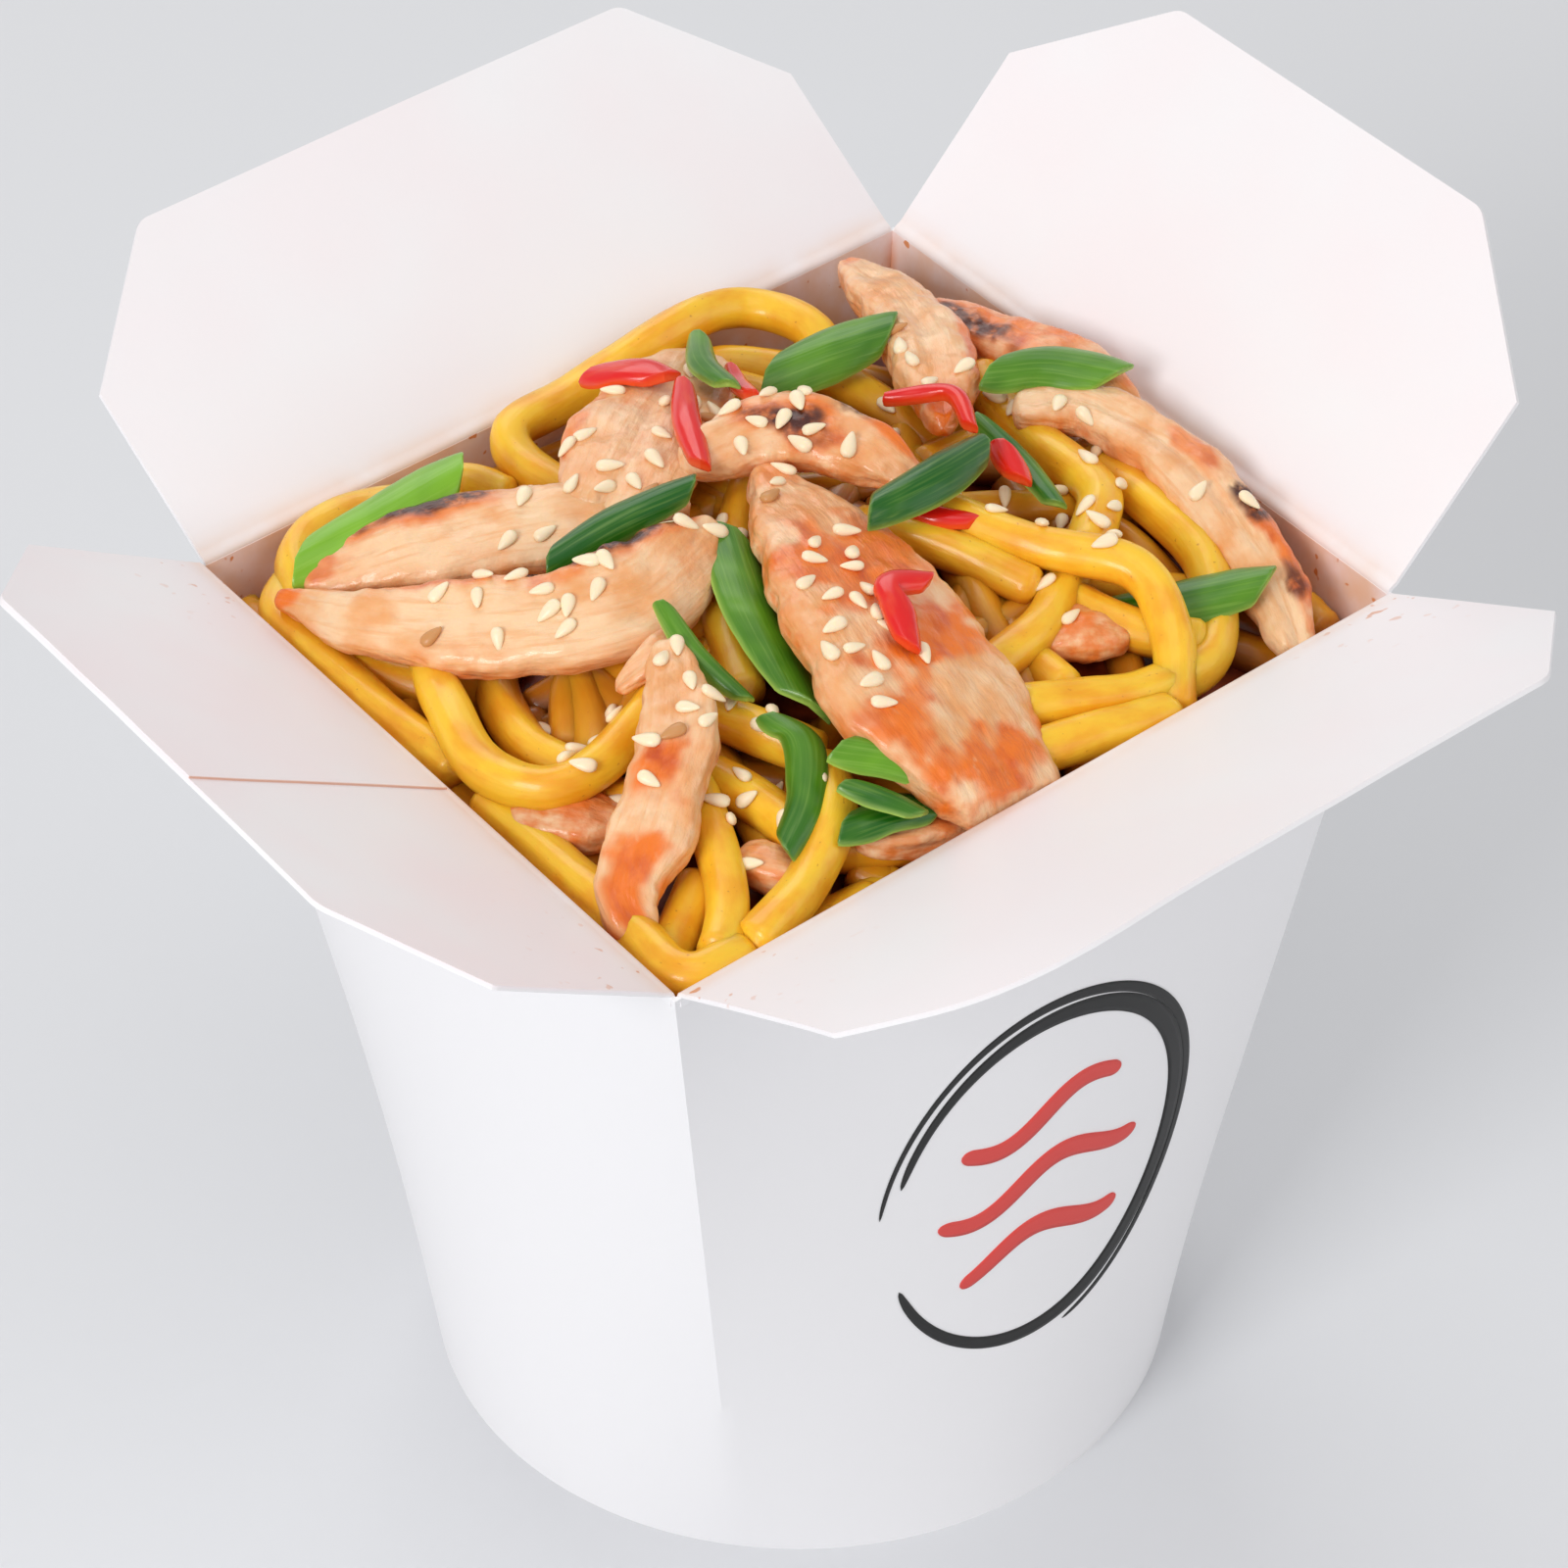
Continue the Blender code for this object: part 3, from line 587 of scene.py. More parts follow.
class Shell:
    """Closed surfaces gathered into one mesh, with named values at its vertices."""

    def __init__(self) -> None:
        """Start with no surface."""
        self.points: list[np.ndarray] = []
        self.faces: list[np.ndarray] = []
        self.values: dict[str, list[np.ndarray]] = {}
        self.count = 0

    def add(self, grid: np.ndarray, cap: Cap, **values: np.ndarray) -> None:
        """Add one tube of rings, closed round its sides and shut at its ends.

        Args:
            grid: places, as rings by sides by 3.
            cap: how the ends are shut.
            values: rings by sides, or rings by sides by 3, for each named value.
        """
        rings, sides = grid.shape[:2]
        points = grid.reshape(-1, 3)
        index = np.arange(rings * sides).reshape(rings, sides)
        near, far = index[:-1], index[1:]
        faces = [np.stack([near, np.roll(near, -1, 1), np.roll(far, -1, 1), far], -1).reshape(-1, 4)]
        first, last = index[0], index[-1]
        if cap is Cap.POLE:
            points = np.vstack([points, grid[0].mean(0), grid[-1].mean(0)])
            poles = np.full((2, sides), [[rings * sides], [rings * sides + 1]])
            faces.append(np.stack([np.roll(first, -1), first, poles[0]], -1))
            faces.append(np.stack([last, np.roll(last, -1), poles[1]], -1))
        else:
            half = sides // 2
            for ring, step in ((first, 1), (last, -1)):
                upper, lower = ring[:half], ring[half:][::-1]
                band = np.stack([upper[1:], upper[:-1], lower[:-1], lower[1:]], -1)
                faces.append(band[:, ::step])
        for name, value in values.items():
            flat = value.reshape(rings * sides, -1)
            if cap is Cap.POLE:
                poles = [end.reshape(sides, -1).mean(0) for end in (value[0], value[-1])]
                flat = np.vstack([flat, *poles])
            self.values.setdefault(name, []).append(flat)
        inward = self.volume(points, faces) < 0
        self.faces += [(face[:, ::-1] if inward else face) + self.count for face in faces]
        self.points.append(points)
        self.count += len(points)

    @staticmethod
    def volume(points: np.ndarray, faces: list[np.ndarray]) -> float:
        """Sum of the signed tetrahedra from the points' middle to each face, six times too large.

        Args:
            points: places of the corners.
            faces: arrays of faces, each row with its corners' numbers.

        Returns:
            A value above 0 where the faces point outwards.
        """
        centred = points - points.mean(0)
        total = 0.0
        for face in faces:
            for second in range(1, face.shape[1] - 1):
                a, b, c = (centred[face[:, place]] for place in (0, second, second + 1))
                total += float(np.einsum("ij,ij->", a, np.cross(b, c)))
        return total

    def build(self, name: str, finish: Finish, sharp: float = 180.0) -> bpy.types.Object:
        """Make the mesh object, smooth shaded.

        Args:
            name: the object's name.
            finish: what it is made of.
            sharp: edges bent by more than this many degrees stay sharp.

        Returns:
            The new object, which sits at the origin.
        """
        mesh = bpy.data.meshes.new(name)
        points = np.concatenate(self.points) * MM
        corners = np.concatenate([face.ravel() for face in self.faces])
        sizes = np.concatenate([np.full(len(face), face.shape[1]) for face in self.faces])
        mesh.vertices.add(len(points))
        mesh.vertices.foreach_set("co", points.astype(np.float32).ravel())
        mesh.loops.add(len(corners))
        mesh.loops.foreach_set("vertex_index", corners.astype(np.int32))
        mesh.polygons.add(len(sizes))
        mesh.polygons.foreach_set("loop_start", (np.cumsum(sizes) - sizes).astype(np.int32))
        for title, parts in self.values.items():
            value = np.concatenate(parts).astype(np.float32)
            wide = value.shape[1] == 3
            layer = mesh.attributes.new(title, "FLOAT_VECTOR" if wide else "FLOAT", "POINT")
            layer.data.foreach_set("vector" if wide else "value", value.ravel())
        mesh.update(calc_edges=True)
        mesh.validate()
        mesh.shade_smooth()
        mesh.set_sharp_from_angle(angle=math.radians(sharp))
        mesh.materials.append(finish.material())
        made = bpy.data.objects.new(name, mesh)
        bpy.context.scene.collection.objects.link(made)
        return made


def settle(piece: bpy.types.Object, body: str, slot: str, *nodes: str) -> bpy.types.Object:
    """Let a piece ride on a body, and let it stand for CAD nodes.

    Args:
        piece: the finished piece.
        body: the body that it rides on.
        slot: the record's material slot; not used.
        nodes: the nodes that it replaces.

    Returns:
        The same piece.
    """
    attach(piece, body)
    if nodes:
        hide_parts(*nodes)
    LOG.info("%s: %d faces on %s", piece.name, len(piece.data.polygons), body)
    return piece


@dataclass(frozen=True)
class Walls:
    """The box's walls: an oblong rim, pressed out of square, that rounds down to a circular base.

    skew moves each rim corner along both axes. bearings, levels and lowest_level, a part of the
    height, say how finely keep_inside reads the walls.
    """

    height: float = round(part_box("box_body")[1].z / MM, 3)
    base_radius: float = 43.5
    half_x: float = 50.0
    half_y: float = 44.5
    skew: float = 1.6
    card: float = 0.6
    bearings: int = 361
    levels: int = 7
    lowest_level: float = 0.7

    def corners(self, inset: float) -> np.ndarray:
        """Rim corners in plan: each half size with its sign, plus skew with the other axis's sign.

        Args:
            inset: how far inside the outer face.

        Returns:
            Four (x, y), anticlockwise from the front left.
        """
        signs = np.array([(-1, -1), (1, -1), (1, 1), (-1, 1)])
        halves = np.array([self.half_x, self.half_y]) - inset
        return signs * halves + signs[:, ::-1] * self.skew

    def plan(self, turn: np.ndarray, share: np.ndarray, inset: float) -> np.ndarray:
        """Place on the wall in plan, ruled from a quarter of the base circle to a straight rim side.

        The place is base x (1 - share) + rim x share, both at the same part of their side.

        Args:
            turn: 0 to 4 round the box, a whole number at each corner, from the front left one.
            share: 0 at the base and 1 at the rim.
            inset: how far inside the outer face.

        Returns:
            x and y on the last axis.
        """
        corners = self.corners(inset)
        side = np.floor(turn).astype(int) % 4
        along = (turn - np.floor(turn))[..., None]
        bearing = np.arctan2(corners[:, 1], corners[:, 0])
        sweep = (np.roll(bearing, -1) - bearing) % math.tau
        angle = bearing[side] + sweep[side] * along[..., 0]
        low = np.stack([np.cos(angle), np.sin(angle)], -1) * (self.base_radius - inset)
        high = corners[side] * (1 - along) + corners[(side + 1) % 4] * along
        return low + (high - low) * np.asarray(share)[..., None]

    def place(self, turn: np.ndarray, height: np.ndarray, inset: float) -> np.ndarray:
        """Place on the wall at a height above the base, upright above the rim.

        Args:
            turn: 0 to 4 round the box.
            height: height above the base.
            inset: how far inside the outer face.

        Returns:
            x, y and z on the last axis.
        """
        turn, height = np.broadcast_arrays(np.asarray(turn, float), np.asarray(height, float))
        plan = self.plan(turn, np.minimum(height / self.height, 1), inset)
        return np.concatenate([plan, height[..., None]], -1)

    def keep_inside(self, points: np.ndarray, inset: float) -> np.ndarray:
        """Press places that lie outside the walls against them, towards the box's middle.

        The limit is the wall's distance from the middle, read off at a few levels and mixed between them.

        Args:
            points: places to press.
            inset: how far inside the outer face they have to be.

        Returns:
            The places, moved where needed.
        """
        turns = np.linspace(0, 4, self.bearings)
        levels = np.linspace(self.lowest_level, 1, self.levels)
        bearing = np.arctan2(points[..., 1], points[..., 0])
        limits = []
        for level in levels:
            ring = self.plan(turns, np.full(turns.shape, level), inset)
            limits.append(np.interp(bearing, *self.polar(ring), period=math.tau))
        limits = np.stack(limits, -1)
        step = (np.clip(points[..., 2] / self.height, levels[0], 1) - levels[0]) / (levels[1] - levels[0])
        below = np.minimum(np.floor(step).astype(int), len(levels) - 2)[..., None]
        part = step - below[..., 0]
        limit = np.take_along_axis(limits, below, -1)[..., 0] * (1 - part)
        limit += np.take_along_axis(limits, below + 1, -1)[..., 0] * part
        far = np.hypot(points[..., 0], points[..., 1])
        scale = np.minimum(1, limit / np.maximum(far, 1e-6))
        return points * np.stack([scale, scale, np.ones_like(scale)], -1)

    @staticmethod
    def polar(ring: np.ndarray) -> tuple[np.ndarray, np.ndarray]:
        """Turn a ring into bearings and distances.

        Args:
            ring: places in plan.

        Returns:
            Each place's bearing, in rising order, and its distance from the middle.
        """
        bearing = np.arctan2(ring[:, 1], ring[:, 0])
        order = np.argsort(bearing)
        return bearing[order], np.hypot(ring[order, 0], ring[order, 1])


@dataclass(frozen=True)
class Drip:
    """A run of sauce down the inside of one corner, soft at its sides and ends.

    corner and width are parts of a side, height is its middle, and reach is half its length.
    """

    corner: float = 2.0
    width: float = 0.014
    height: float = 101.0
    reach: float = 3.0
    strength: float = 0.6

    def value(self, turn: np.ndarray, height: float) -> np.ndarray:
        """Strength x exp(-(way round from the corner / width)^2 - (way up from its middle / reach)^4).

        Args:
            turn: 0 to 4 round the box.
            height: height above the base.

        Returns:
            The sauce's strength at each place.
        """
        aside = (turn - self.corner) / self.width
        above = (height - self.height) / self.reach
        return self.strength * np.exp(-aside ** 2 - above ** 4)


@dataclass
class Carton:
    """The card box below the folds: outer and inner walls, rim and base in one closed shell.

    bow is how far the walls move in, and lip rounds the rim. stain is the grease inside at
    stain_height, which fades over stain_fade mm, and soil is how much sauce has spotted the inside.
    """

    walls: Walls
    columns: int = 200
    rows: int = 64
    bow: float = 0.12
    lip: float = 0.06
    crease: float = 32.0
    uneven: Unevenness = Unevenness(30.0, 1.0, 5)
    grease_and_fold_shade: float = 0.95
    stain_height: float = 97.0
    stain_fade: float = 40.0
    stain_limits: tuple[float, float] = (0.7, 1.0)
    soil: float = 0.9
    drip: Drip = Drip()

    def profile(self) -> list[tuple[float, float, float]]:
        """Rings from the middle of the underside, up outside, over the rim and down to the inner floor.

        Returns:
            (part of full width, inset, height) of each ring.
        """
        walls = self.walls
        top, card, lip = walls.height, walls.card, self.lip
        parts = (0.1, 0.4, 0.8, 0.97)
        rings = [(part, 0.0, 0.0) for part in parts]
        rings += [(1.0, 0.0, height) for height in np.linspace(0, top - lip, self.rows)]
        rings += [(1.0, lip, top), (1.0, card - lip, top)]
        rings += [(1.0, card, height) for height in np.linspace(top - lip, card, self.rows)]
        rings += [(part, card, card) for part in reversed(parts)]
        return rings

    def build(self) -> bpy.types.Object:
        """Make the shell, its walls bowed in faintly, and mark its inside with grease and sauce.

        A wall moves in by bow x a half sine of the height x noise.

        Returns:
            The walls as one piece.
        """
        turn = np.linspace(0, 4, self.columns, endpoint=False)
        grid = []
        values = {name: [] for name in ("inner", "grease_and_fold_shade", "soil", "seam")}
        for part, inset, height in self.profile():
            ring = self.walls.place(turn, np.full(turn.shape, height), inset)
            ring[:, :2] *= part
            sway = self.bow * np.sin(math.pi * height / self.walls.height) * (1 + self.uneven.at(ring)) / 2
            ring[:, :2] *= (1 - sway / self.walls.base_radius)[:, None]
            grid.append(ring)
            inside = np.full(turn.shape, float(inset >= self.walls.card))
            grease_and_fold_shade = self.grease_and_fold_shade - (height - self.stain_height) / self.stain_fade
            values["inner"].append(inside)
            values["grease_and_fold_shade"].append(inside * np.clip(grease_and_fold_shade, *self.stain_limits))
            values["soil"].append(inside * self.soil)
            values["seam"].append(inside * self.drip.value(turn, height))
        shell = Shell()
        shell.add(np.array(grid), Cap.POLE, **{name: np.array(rows) for name, rows in values.items()})
        return settle(shell.build("carton_walls", CARD, self.crease), "box", "card", "box_body")


@dataclass
class Flap:
    """A closing flap: card that turns out of the wall's top edge, over a fold, into a cut plate.

    shoulder is how far out its sides run straight, and edge is its width at the tip. cut is how much
    the rounding of each outer corner takes, curl is how far the left corner bends back, and bow is how
    far the middle of the outer edge bends in. seam is where a lapped edge ends, at the fold and at the
    tip. blush is how strongly the inside is tinted warm pink, and soiled how much food has spotted it.
    The crease of the fold gets painted shade in the grease colour, and the lapped edge a line in the
    sauce colour, each with its own strength. slack keeps the card a little thinner than the solid it stands
    for.
    """

    name: str
    side: int
    walls: Walls
    tilt: float
    depth: float
    shoulder: float
    edge: float
    seed: int
    cut: tuple[float, float] = (1.2, 1.2)
    curl: float = 0.0
    bow: float = 0.5
    seam: tuple[float, float] | None = None
    blush: float = 0.3
    soiled: float = 0.0
    # Strength of the painted shade along the crease of the fold
    fold_shade_strength: float = 0.3
    # Strength of the line in the sauce colour along the lapped edge
    seam_line: float = 0.6
    fold_out: float = 0.45
    fold_up: float = 0.6
    clearance: float = 0.8
    rooted: float = 1.2
    slack: float = 0.04
    columns: int = 72
    bend_rows: int = 14
    fold_rows: int = 12
    plate_rows: int = 34
    plate_start: float = 1.6
    curl_reach: float = 20.0
    crease: float = 50.0
    uneven: Unevenness = Unevenness(28.0, 0.3, 0)
    lap_rows: int = 8
    lap_thick: float = 0.34
    lap_lift: float = 0.32
    lap_inset: float = 0.05
    corner_reach: tuple[float, float] = (12.0, 9.0)
    fold_reach: float = 1.5
    cut_rows: int = 7
    cut_share: float = 0.7
    corner_steps: int = 12

    def frame(self) -> tuple[np.ndarray, np.ndarray, np.ndarray, float]:
        """Where the flap's rim side lies.

        Returns:
            The side's middle, its direction, the outward direction and half its length.
        """
        corners = self.walls.corners(0)
        start, end = corners[self.side], corners[(self.side + 1) % 4]
        middle = np.append((start + end) / 2, self.walls.height)
        along = np.append(unit(end - start), 0.0)
        return middle, along, np.cross(along, UP), float(np.linalg.norm(end - start)) / 2

    def path(self) -> np.ndarray:
        """The section's middle line: out of the wall, round the fold, then straight up the plate.

        Returns:
            (outward, up) from the rim, with a row at each place where the cut outline turns.
        """
        lean = math.radians(self.tilt)
        slope = np.array([math.sin(lean), math.cos(lean)])
        axis = np.array([self.fold_out, self.fold_up])
        mid = -self.walls.card / 2
        knots = [(mid, -self.rooted, 0.0), (mid, -0.2, 0.0), (mid + 0.15, 0.32, 0.0)]
        knots += [(*(axis + slope * 0.3), 0.0), (*(axis + slope * 1.0), 0.0)]
        bend = smooth_route(knots, self.bend_rows, 0.0)[:, :2]
        even = np.linspace(self.plate_start, self.depth, self.plate_rows)
        rounded = self.depth - max(self.cut) * self.cut_share * np.linspace(0, 1, self.cut_rows) ** 2
        steps = np.unique(np.concatenate([even, rounded, [self.shoulder]]))
        return np.vstack([bend, axis + slope * steps[:, None]])

    def distances(self, path: np.ndarray) -> np.ndarray:
        """Distance of each step of the path from the fold, or 0 in the wall and round the fold."""
        far = np.linalg.norm(path - np.array([self.fold_out, self.fold_up]), axis=1)
        return np.where(np.arange(len(path)) < self.fold_rows, 0, far)

    def half_width(self, distance: np.ndarray, half: float, cut: float) -> np.ndarray:
        """Half the flap's width at a distance from the fold, its outer corner rounded.

        The corner follows a quadratic curve whose ends lie cut away from the corner.

        Args:
            distance: distance from the fold.
            half: half the width at the fold.
            cut: length that the rounding takes from each side of the corner.

        Returns:
            The half width at each distance.
        """
        slant = unit(np.array([half - self.edge / 2, self.shoulder - self.depth]))
        corner = np.array([self.edge / 2, self.depth])
        t = np.linspace(0, 1, self.corner_steps)[:, None]
        curve = (corner + slant * cut) * (1 - t) ** 2 + 2 * corner * t * (1 - t)
        curve += (corner - np.array([cut, 0.0])) * t ** 2
        line = np.vstack([[half, 0.0], [half, self.shoulder], curve])
        return np.interp(distance, line[:, 1], line[:, 0])

    def sheet(self, thick: float, lift: float, left: np.ndarray, right: np.ndarray, columns: np.ndarray,
              path: np.ndarray) -> tuple[np.ndarray, np.ndarray]:
        """Upper and lower face of a sheet on the flap, as closed rings across it.

        The plate stands off by bow x reach x (1 - (across / half)^2), less the curl, plus noise.

        Args:
            thick: the sheet's thickness.
            lift: height of the sheet's middle above the flap's middle line.
            left: where the sheet starts along the rim, at each step of the path.
            right: where it ends.
            columns: 0 to 1 across the sheet.
            path: the flap's middle line.

        Returns:
            The rings, and each place's (along the rim, distance from the fold).
        """
        middle, along, outward, half = self.frame()
        tangent = unit(np.gradient(path, axis=0))
        normal = np.stack([-tangent[:, 1], tangent[:, 0]], -1)
        across = left[:, None] + (right - left)[:, None] * columns
        reach = self.distances(path)[:, None] / self.depth * np.ones_like(across)
        curve = self.bow * reach * (1 - (across / half) ** 2)
        curve -= self.curl * reach ** 2 * np.exp(-((across + half) / self.curl_reach) ** 2)
        spots = np.stack([across, reach * self.depth, np.full_like(across, self.seed * 50.0)], -1)
        curve += reach * self.uneven.at(spots, self.seed)
        faces = []
        for side in (1, -1):
            offset = curve + lift + side * thick / 2
            plane = path[:, None] + normal[:, None] * offset[..., None]
            place = middle + along * across[..., None]
            place = place + outward * plane[..., :1] + UP * plane[..., 1:]
            faces.append(place)
        rings = np.concatenate([faces[0], faces[1][:, ::-1]], 1)
        flat = np.stack([across, reach * self.depth], -1)
        return rings, np.concatenate([flat, flat[:, ::-1]], 1)

    def add(self, shell: Shell, rings: np.ndarray, flat: np.ndarray, half: float, seam: float) -> None:
        """Add a sheet with its marks: sauce near the corners, painted shade in the grease colour at the
        fold's crease, and a line in the sauce colour.

        Args:
            shell: takes the sheet.
            rings: the sheet's rings.
            flat: each place's (along the rim, distance from the fold).
            half: half the width at the fold.
            seam: strength of the line in the sauce colour along the sheet's right edge.
        """
        columns = rings.shape[1] // 2
        across, distance = flat[..., 0], flat[..., 1]
        inner = np.zeros(rings.shape[:2])
        inner[:, :columns] = 1.0
        wide, deep = self.corner_reach
        corner = np.exp(-((half - np.abs(across)) / wide) ** 2 - (distance / deep) ** 2)
        # Painted shade: a narrow band along the crease of the fold, laid in the grease colour
        fold = np.exp(-(distance / self.fold_reach) ** 2)
        edge = np.zeros(rings.shape[:2])
        edge[:, [columns - 1, columns]] = seam * self.seam_line
        shell.add(rings, Cap.STRIP, inner=inner * self.blush, grease_and_fold_shade=inner * self.fold_shade_strength * fold,
                  soil=inner * corner * self.soiled, seam=edge)

    def lap(self, shell: Shell, path: np.ndarray, left: np.ndarray, half: float) -> None:
        """Lay a second, thinner sheet over the left of the plate, where the blank is glued.

        Args:
            shell: takes the sheet.
            path: the flap's middle line.
            left: where the flap starts along the rim, at each step of the path.
            half: half the width at the fold.
        """
        start, end = self.seam
        right = start + (end - start) * self.distances(path) / self.depth
        columns = np.append(np.linspace(0, 0.985, self.columns // 2), [0.993, 1.0])
        rings, flat = self.sheet(self.lap_thick, self.lap_lift, left + self.lap_inset, right, columns, path)
        self.add(shell, rings[self.lap_rows:-1], flat[self.lap_rows:-1], half, 1.0)

    def build(self) -> bpy.types.Object:
        """Make the flap, with any lapped edge, and let it stand for its CAD node.

        Returns:
            The flap as one piece.
        """
        middle, _, outward, length = self.frame()
        half = length - self.clearance
        path = self.path()
        distance = self.distances(path)
        left = -self.half_width(distance, half, self.cut[0])
        right = self.half_width(distance, half, self.cut[1])
        shell = Shell()
        across = np.linspace(0, 1, self.columns)
        rings, flat = self.sheet(self.walls.card - self.slack, 0.0, left, right, across, path)
        self.add(shell, rings, flat, half, 0.0)
        if self.seam:
            self.lap(shell, path, left, half)
        made = shell.build(f"{self.name}_card", CARD, self.crease)
        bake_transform(made)
        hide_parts(self.name)
        return made


def flaps(walls: Walls) -> list[Flap]:
    """The four flaps, anticlockwise from the front, each as far open as in the photograph.

    Args:
        walls: the walls that they hang on.

    Returns:
        The flaps, not yet built.
    """
    return [
        Flap("flap_front", 0, walls, tilt=64.5, depth=38.5, shoulder=25.0, edge=70.0, seed=1,
             cut=(12.0, 1.2), curl=1.4, soiled=0.8),
        Flap("flap_right", 1, walls, tilt=43.0, depth=38.5, shoulder=23.5, edge=51.0, seed=2, bow=-0.16),
        Flap("flap_back", 2, walls, tilt=54.5, depth=37.0, shoulder=21.0, edge=68.0, seed=3),
        Flap("flap_left", 3, walls, tilt=60.0, depth=35.5, shoulder=23.0, edge=60.0, seed=4,
             seam=(4.4, 6.6), blush=0.6, soiled=0.8),
    ]


@dataclass(frozen=True)
class Sweep:
    """One brushed arc of the ring: where it starts, how far it turns, its part of the radius, its weight."""

    start: float
    turn: float
    size: float
    weight: float

    def line(self, share: np.ndarray, radius: float) -> np.ndarray:
        """The arc's middle line, a circle of slowly changing radius, a little taller than wide.

        Args:
            share: 0 to 1 along the arc.
            radius: the ring's radius.

        Returns:
            (across, up) from the ring's middle.
        """
        angle = np.radians(self.start + self.turn * share)
        reach = radius * self.size * (1 + 0.02 * np.sin(angle * 3 + self.size))
        return np.stack([np.cos(angle) * reach, np.sin(angle) * reach * 1.08], -1)


@dataclass
class FrontPrint:
    """The print on the front panel: an open brushed ring in black round three red waves.

    Each wave is (half its length, height above the middle).
    """

    walls: Walls
    centre: tuple[float, float] = (0.0, 50.0)
    radius: float = 21.0
    proud: float = 0.03
    rooted: float = 0.16
    steps: int = 220
    sweeps: tuple[Sweep, ...] = (Sweep(200.0, 318.0, 1.0, 2.1), Sweep(168.0, -250.0, 1.09, 1.1))
    waves: tuple[tuple[float, float], ...] = ((11.5, 9.0), (14.5, 0.0), (11.5, -9.0))
    wave_height: float = 1.9
    wave_pitch: float = 3.6
    wave_width: float = 2.7
    columns: int = 5
    ring_ends: float = 0.03
    wave_ends: float = 0.06
    least: float = 0.02

    def stroke(self, shell: Shell, line: np.ndarray, width: np.ndarray) -> None:
        """Lay one stroke of ink on the wall.

        Args:
            shell: takes the stroke.
            line: its middle, as (across, height) in mm on the panel.
            width: its width at each place.
        """
        tangent = unit(np.gradient(line, axis=0))
        aside = np.stack([-tangent[:, 1], tangent[:, 0]], -1)
        columns = np.linspace(-0.5, 0.5, self.columns)
        flat = line[:, None] + aside[:, None] * (width[:, None] * columns)[..., None]
        share = flat[..., 1] / self.walls.height
        panel = np.linalg.norm(self.walls.corners(0)[1] - self.walls.corners(0)[0])
        arc = self.walls.base_radius * 2 * math.atan2(self.walls.half_x, self.walls.half_y)
        turn = 0.5 + flat[..., 0] / (arc + (panel - arc) * share)
        outer = self.walls.place(turn, flat[..., 1], -self.proud)
        inner = self.walls.place(turn, flat[..., 1], self.rooted)
        shell.add(np.concatenate([outer, inner[:, ::-1]], 1), Cap.STRIP)

    def build(self) -> None:
        """Make the ring and the waves, each stroke swelling in its middle and running out at its ends."""
        centre = np.array(self.centre)
        share = np.linspace(0, 1, self.steps)
        middle = np.sin(math.pi * share)
        ring = Shell()
        for sweep in self.sweeps:
            width = sweep.weight * blunt(share, self.ring_ends) * (0.45 + 0.75 * middle) + self.least
            self.stroke(ring, centre + sweep.line(share, self.radius), width)
        settle(ring.build("print_ring", BLACK_INK), "box", "card")
        waves = Shell()
        for row, (reach, rise) in enumerate(self.waves):
            across = (share * 2 - 1) * reach
            up = rise + self.wave_height * np.sin(across / self.wave_pitch + row)
            width = self.wave_width * blunt(share, self.wave_ends) * (0.7 + 0.3 * middle) + self.least
            self.stroke(waves, centre + np.stack([across, up], -1), width)
        settle(waves.build("print_waves", RED_INK), "box", "card")


@dataclass(frozen=True)
class Heap:
    """The food's overall form: a low dome between the walls.

    skin is how far the food on top rises over the core, and shade is how deep light reaches into it.
    """

    walls: Walls
    edge_rise: float = -8.0
    crown: float = 12.0
    skin: float = 7.0
    shade: float = 9.0

    def top(self, x: np.ndarray, y: np.ndarray) -> np.ndarray:
        """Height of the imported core: edge + crown x (1 - (x / half)^2) x (1 - (y / half)^2).

        Args:
            x: place from left to right.
            y: place from front to back.

        Returns:
            Height above the base.
        """
        wide = 1 - (x / self.walls.half_x) ** 2
        deep = 1 - (y / self.walls.half_y) ** 2
        return self.walls.height + self.edge_rise + self.crown * wide * deep

    def depth(self, points: np.ndarray) -> np.ndarray:
        """How deep a place lies below the heap's upper skin, from 0 at the top to 1 where light fails."""
        upper = self.top(points[..., 0], points[..., 1]) + self.skin
        return np.clip((upper - points[..., 2]) / self.shade, 0, 1)


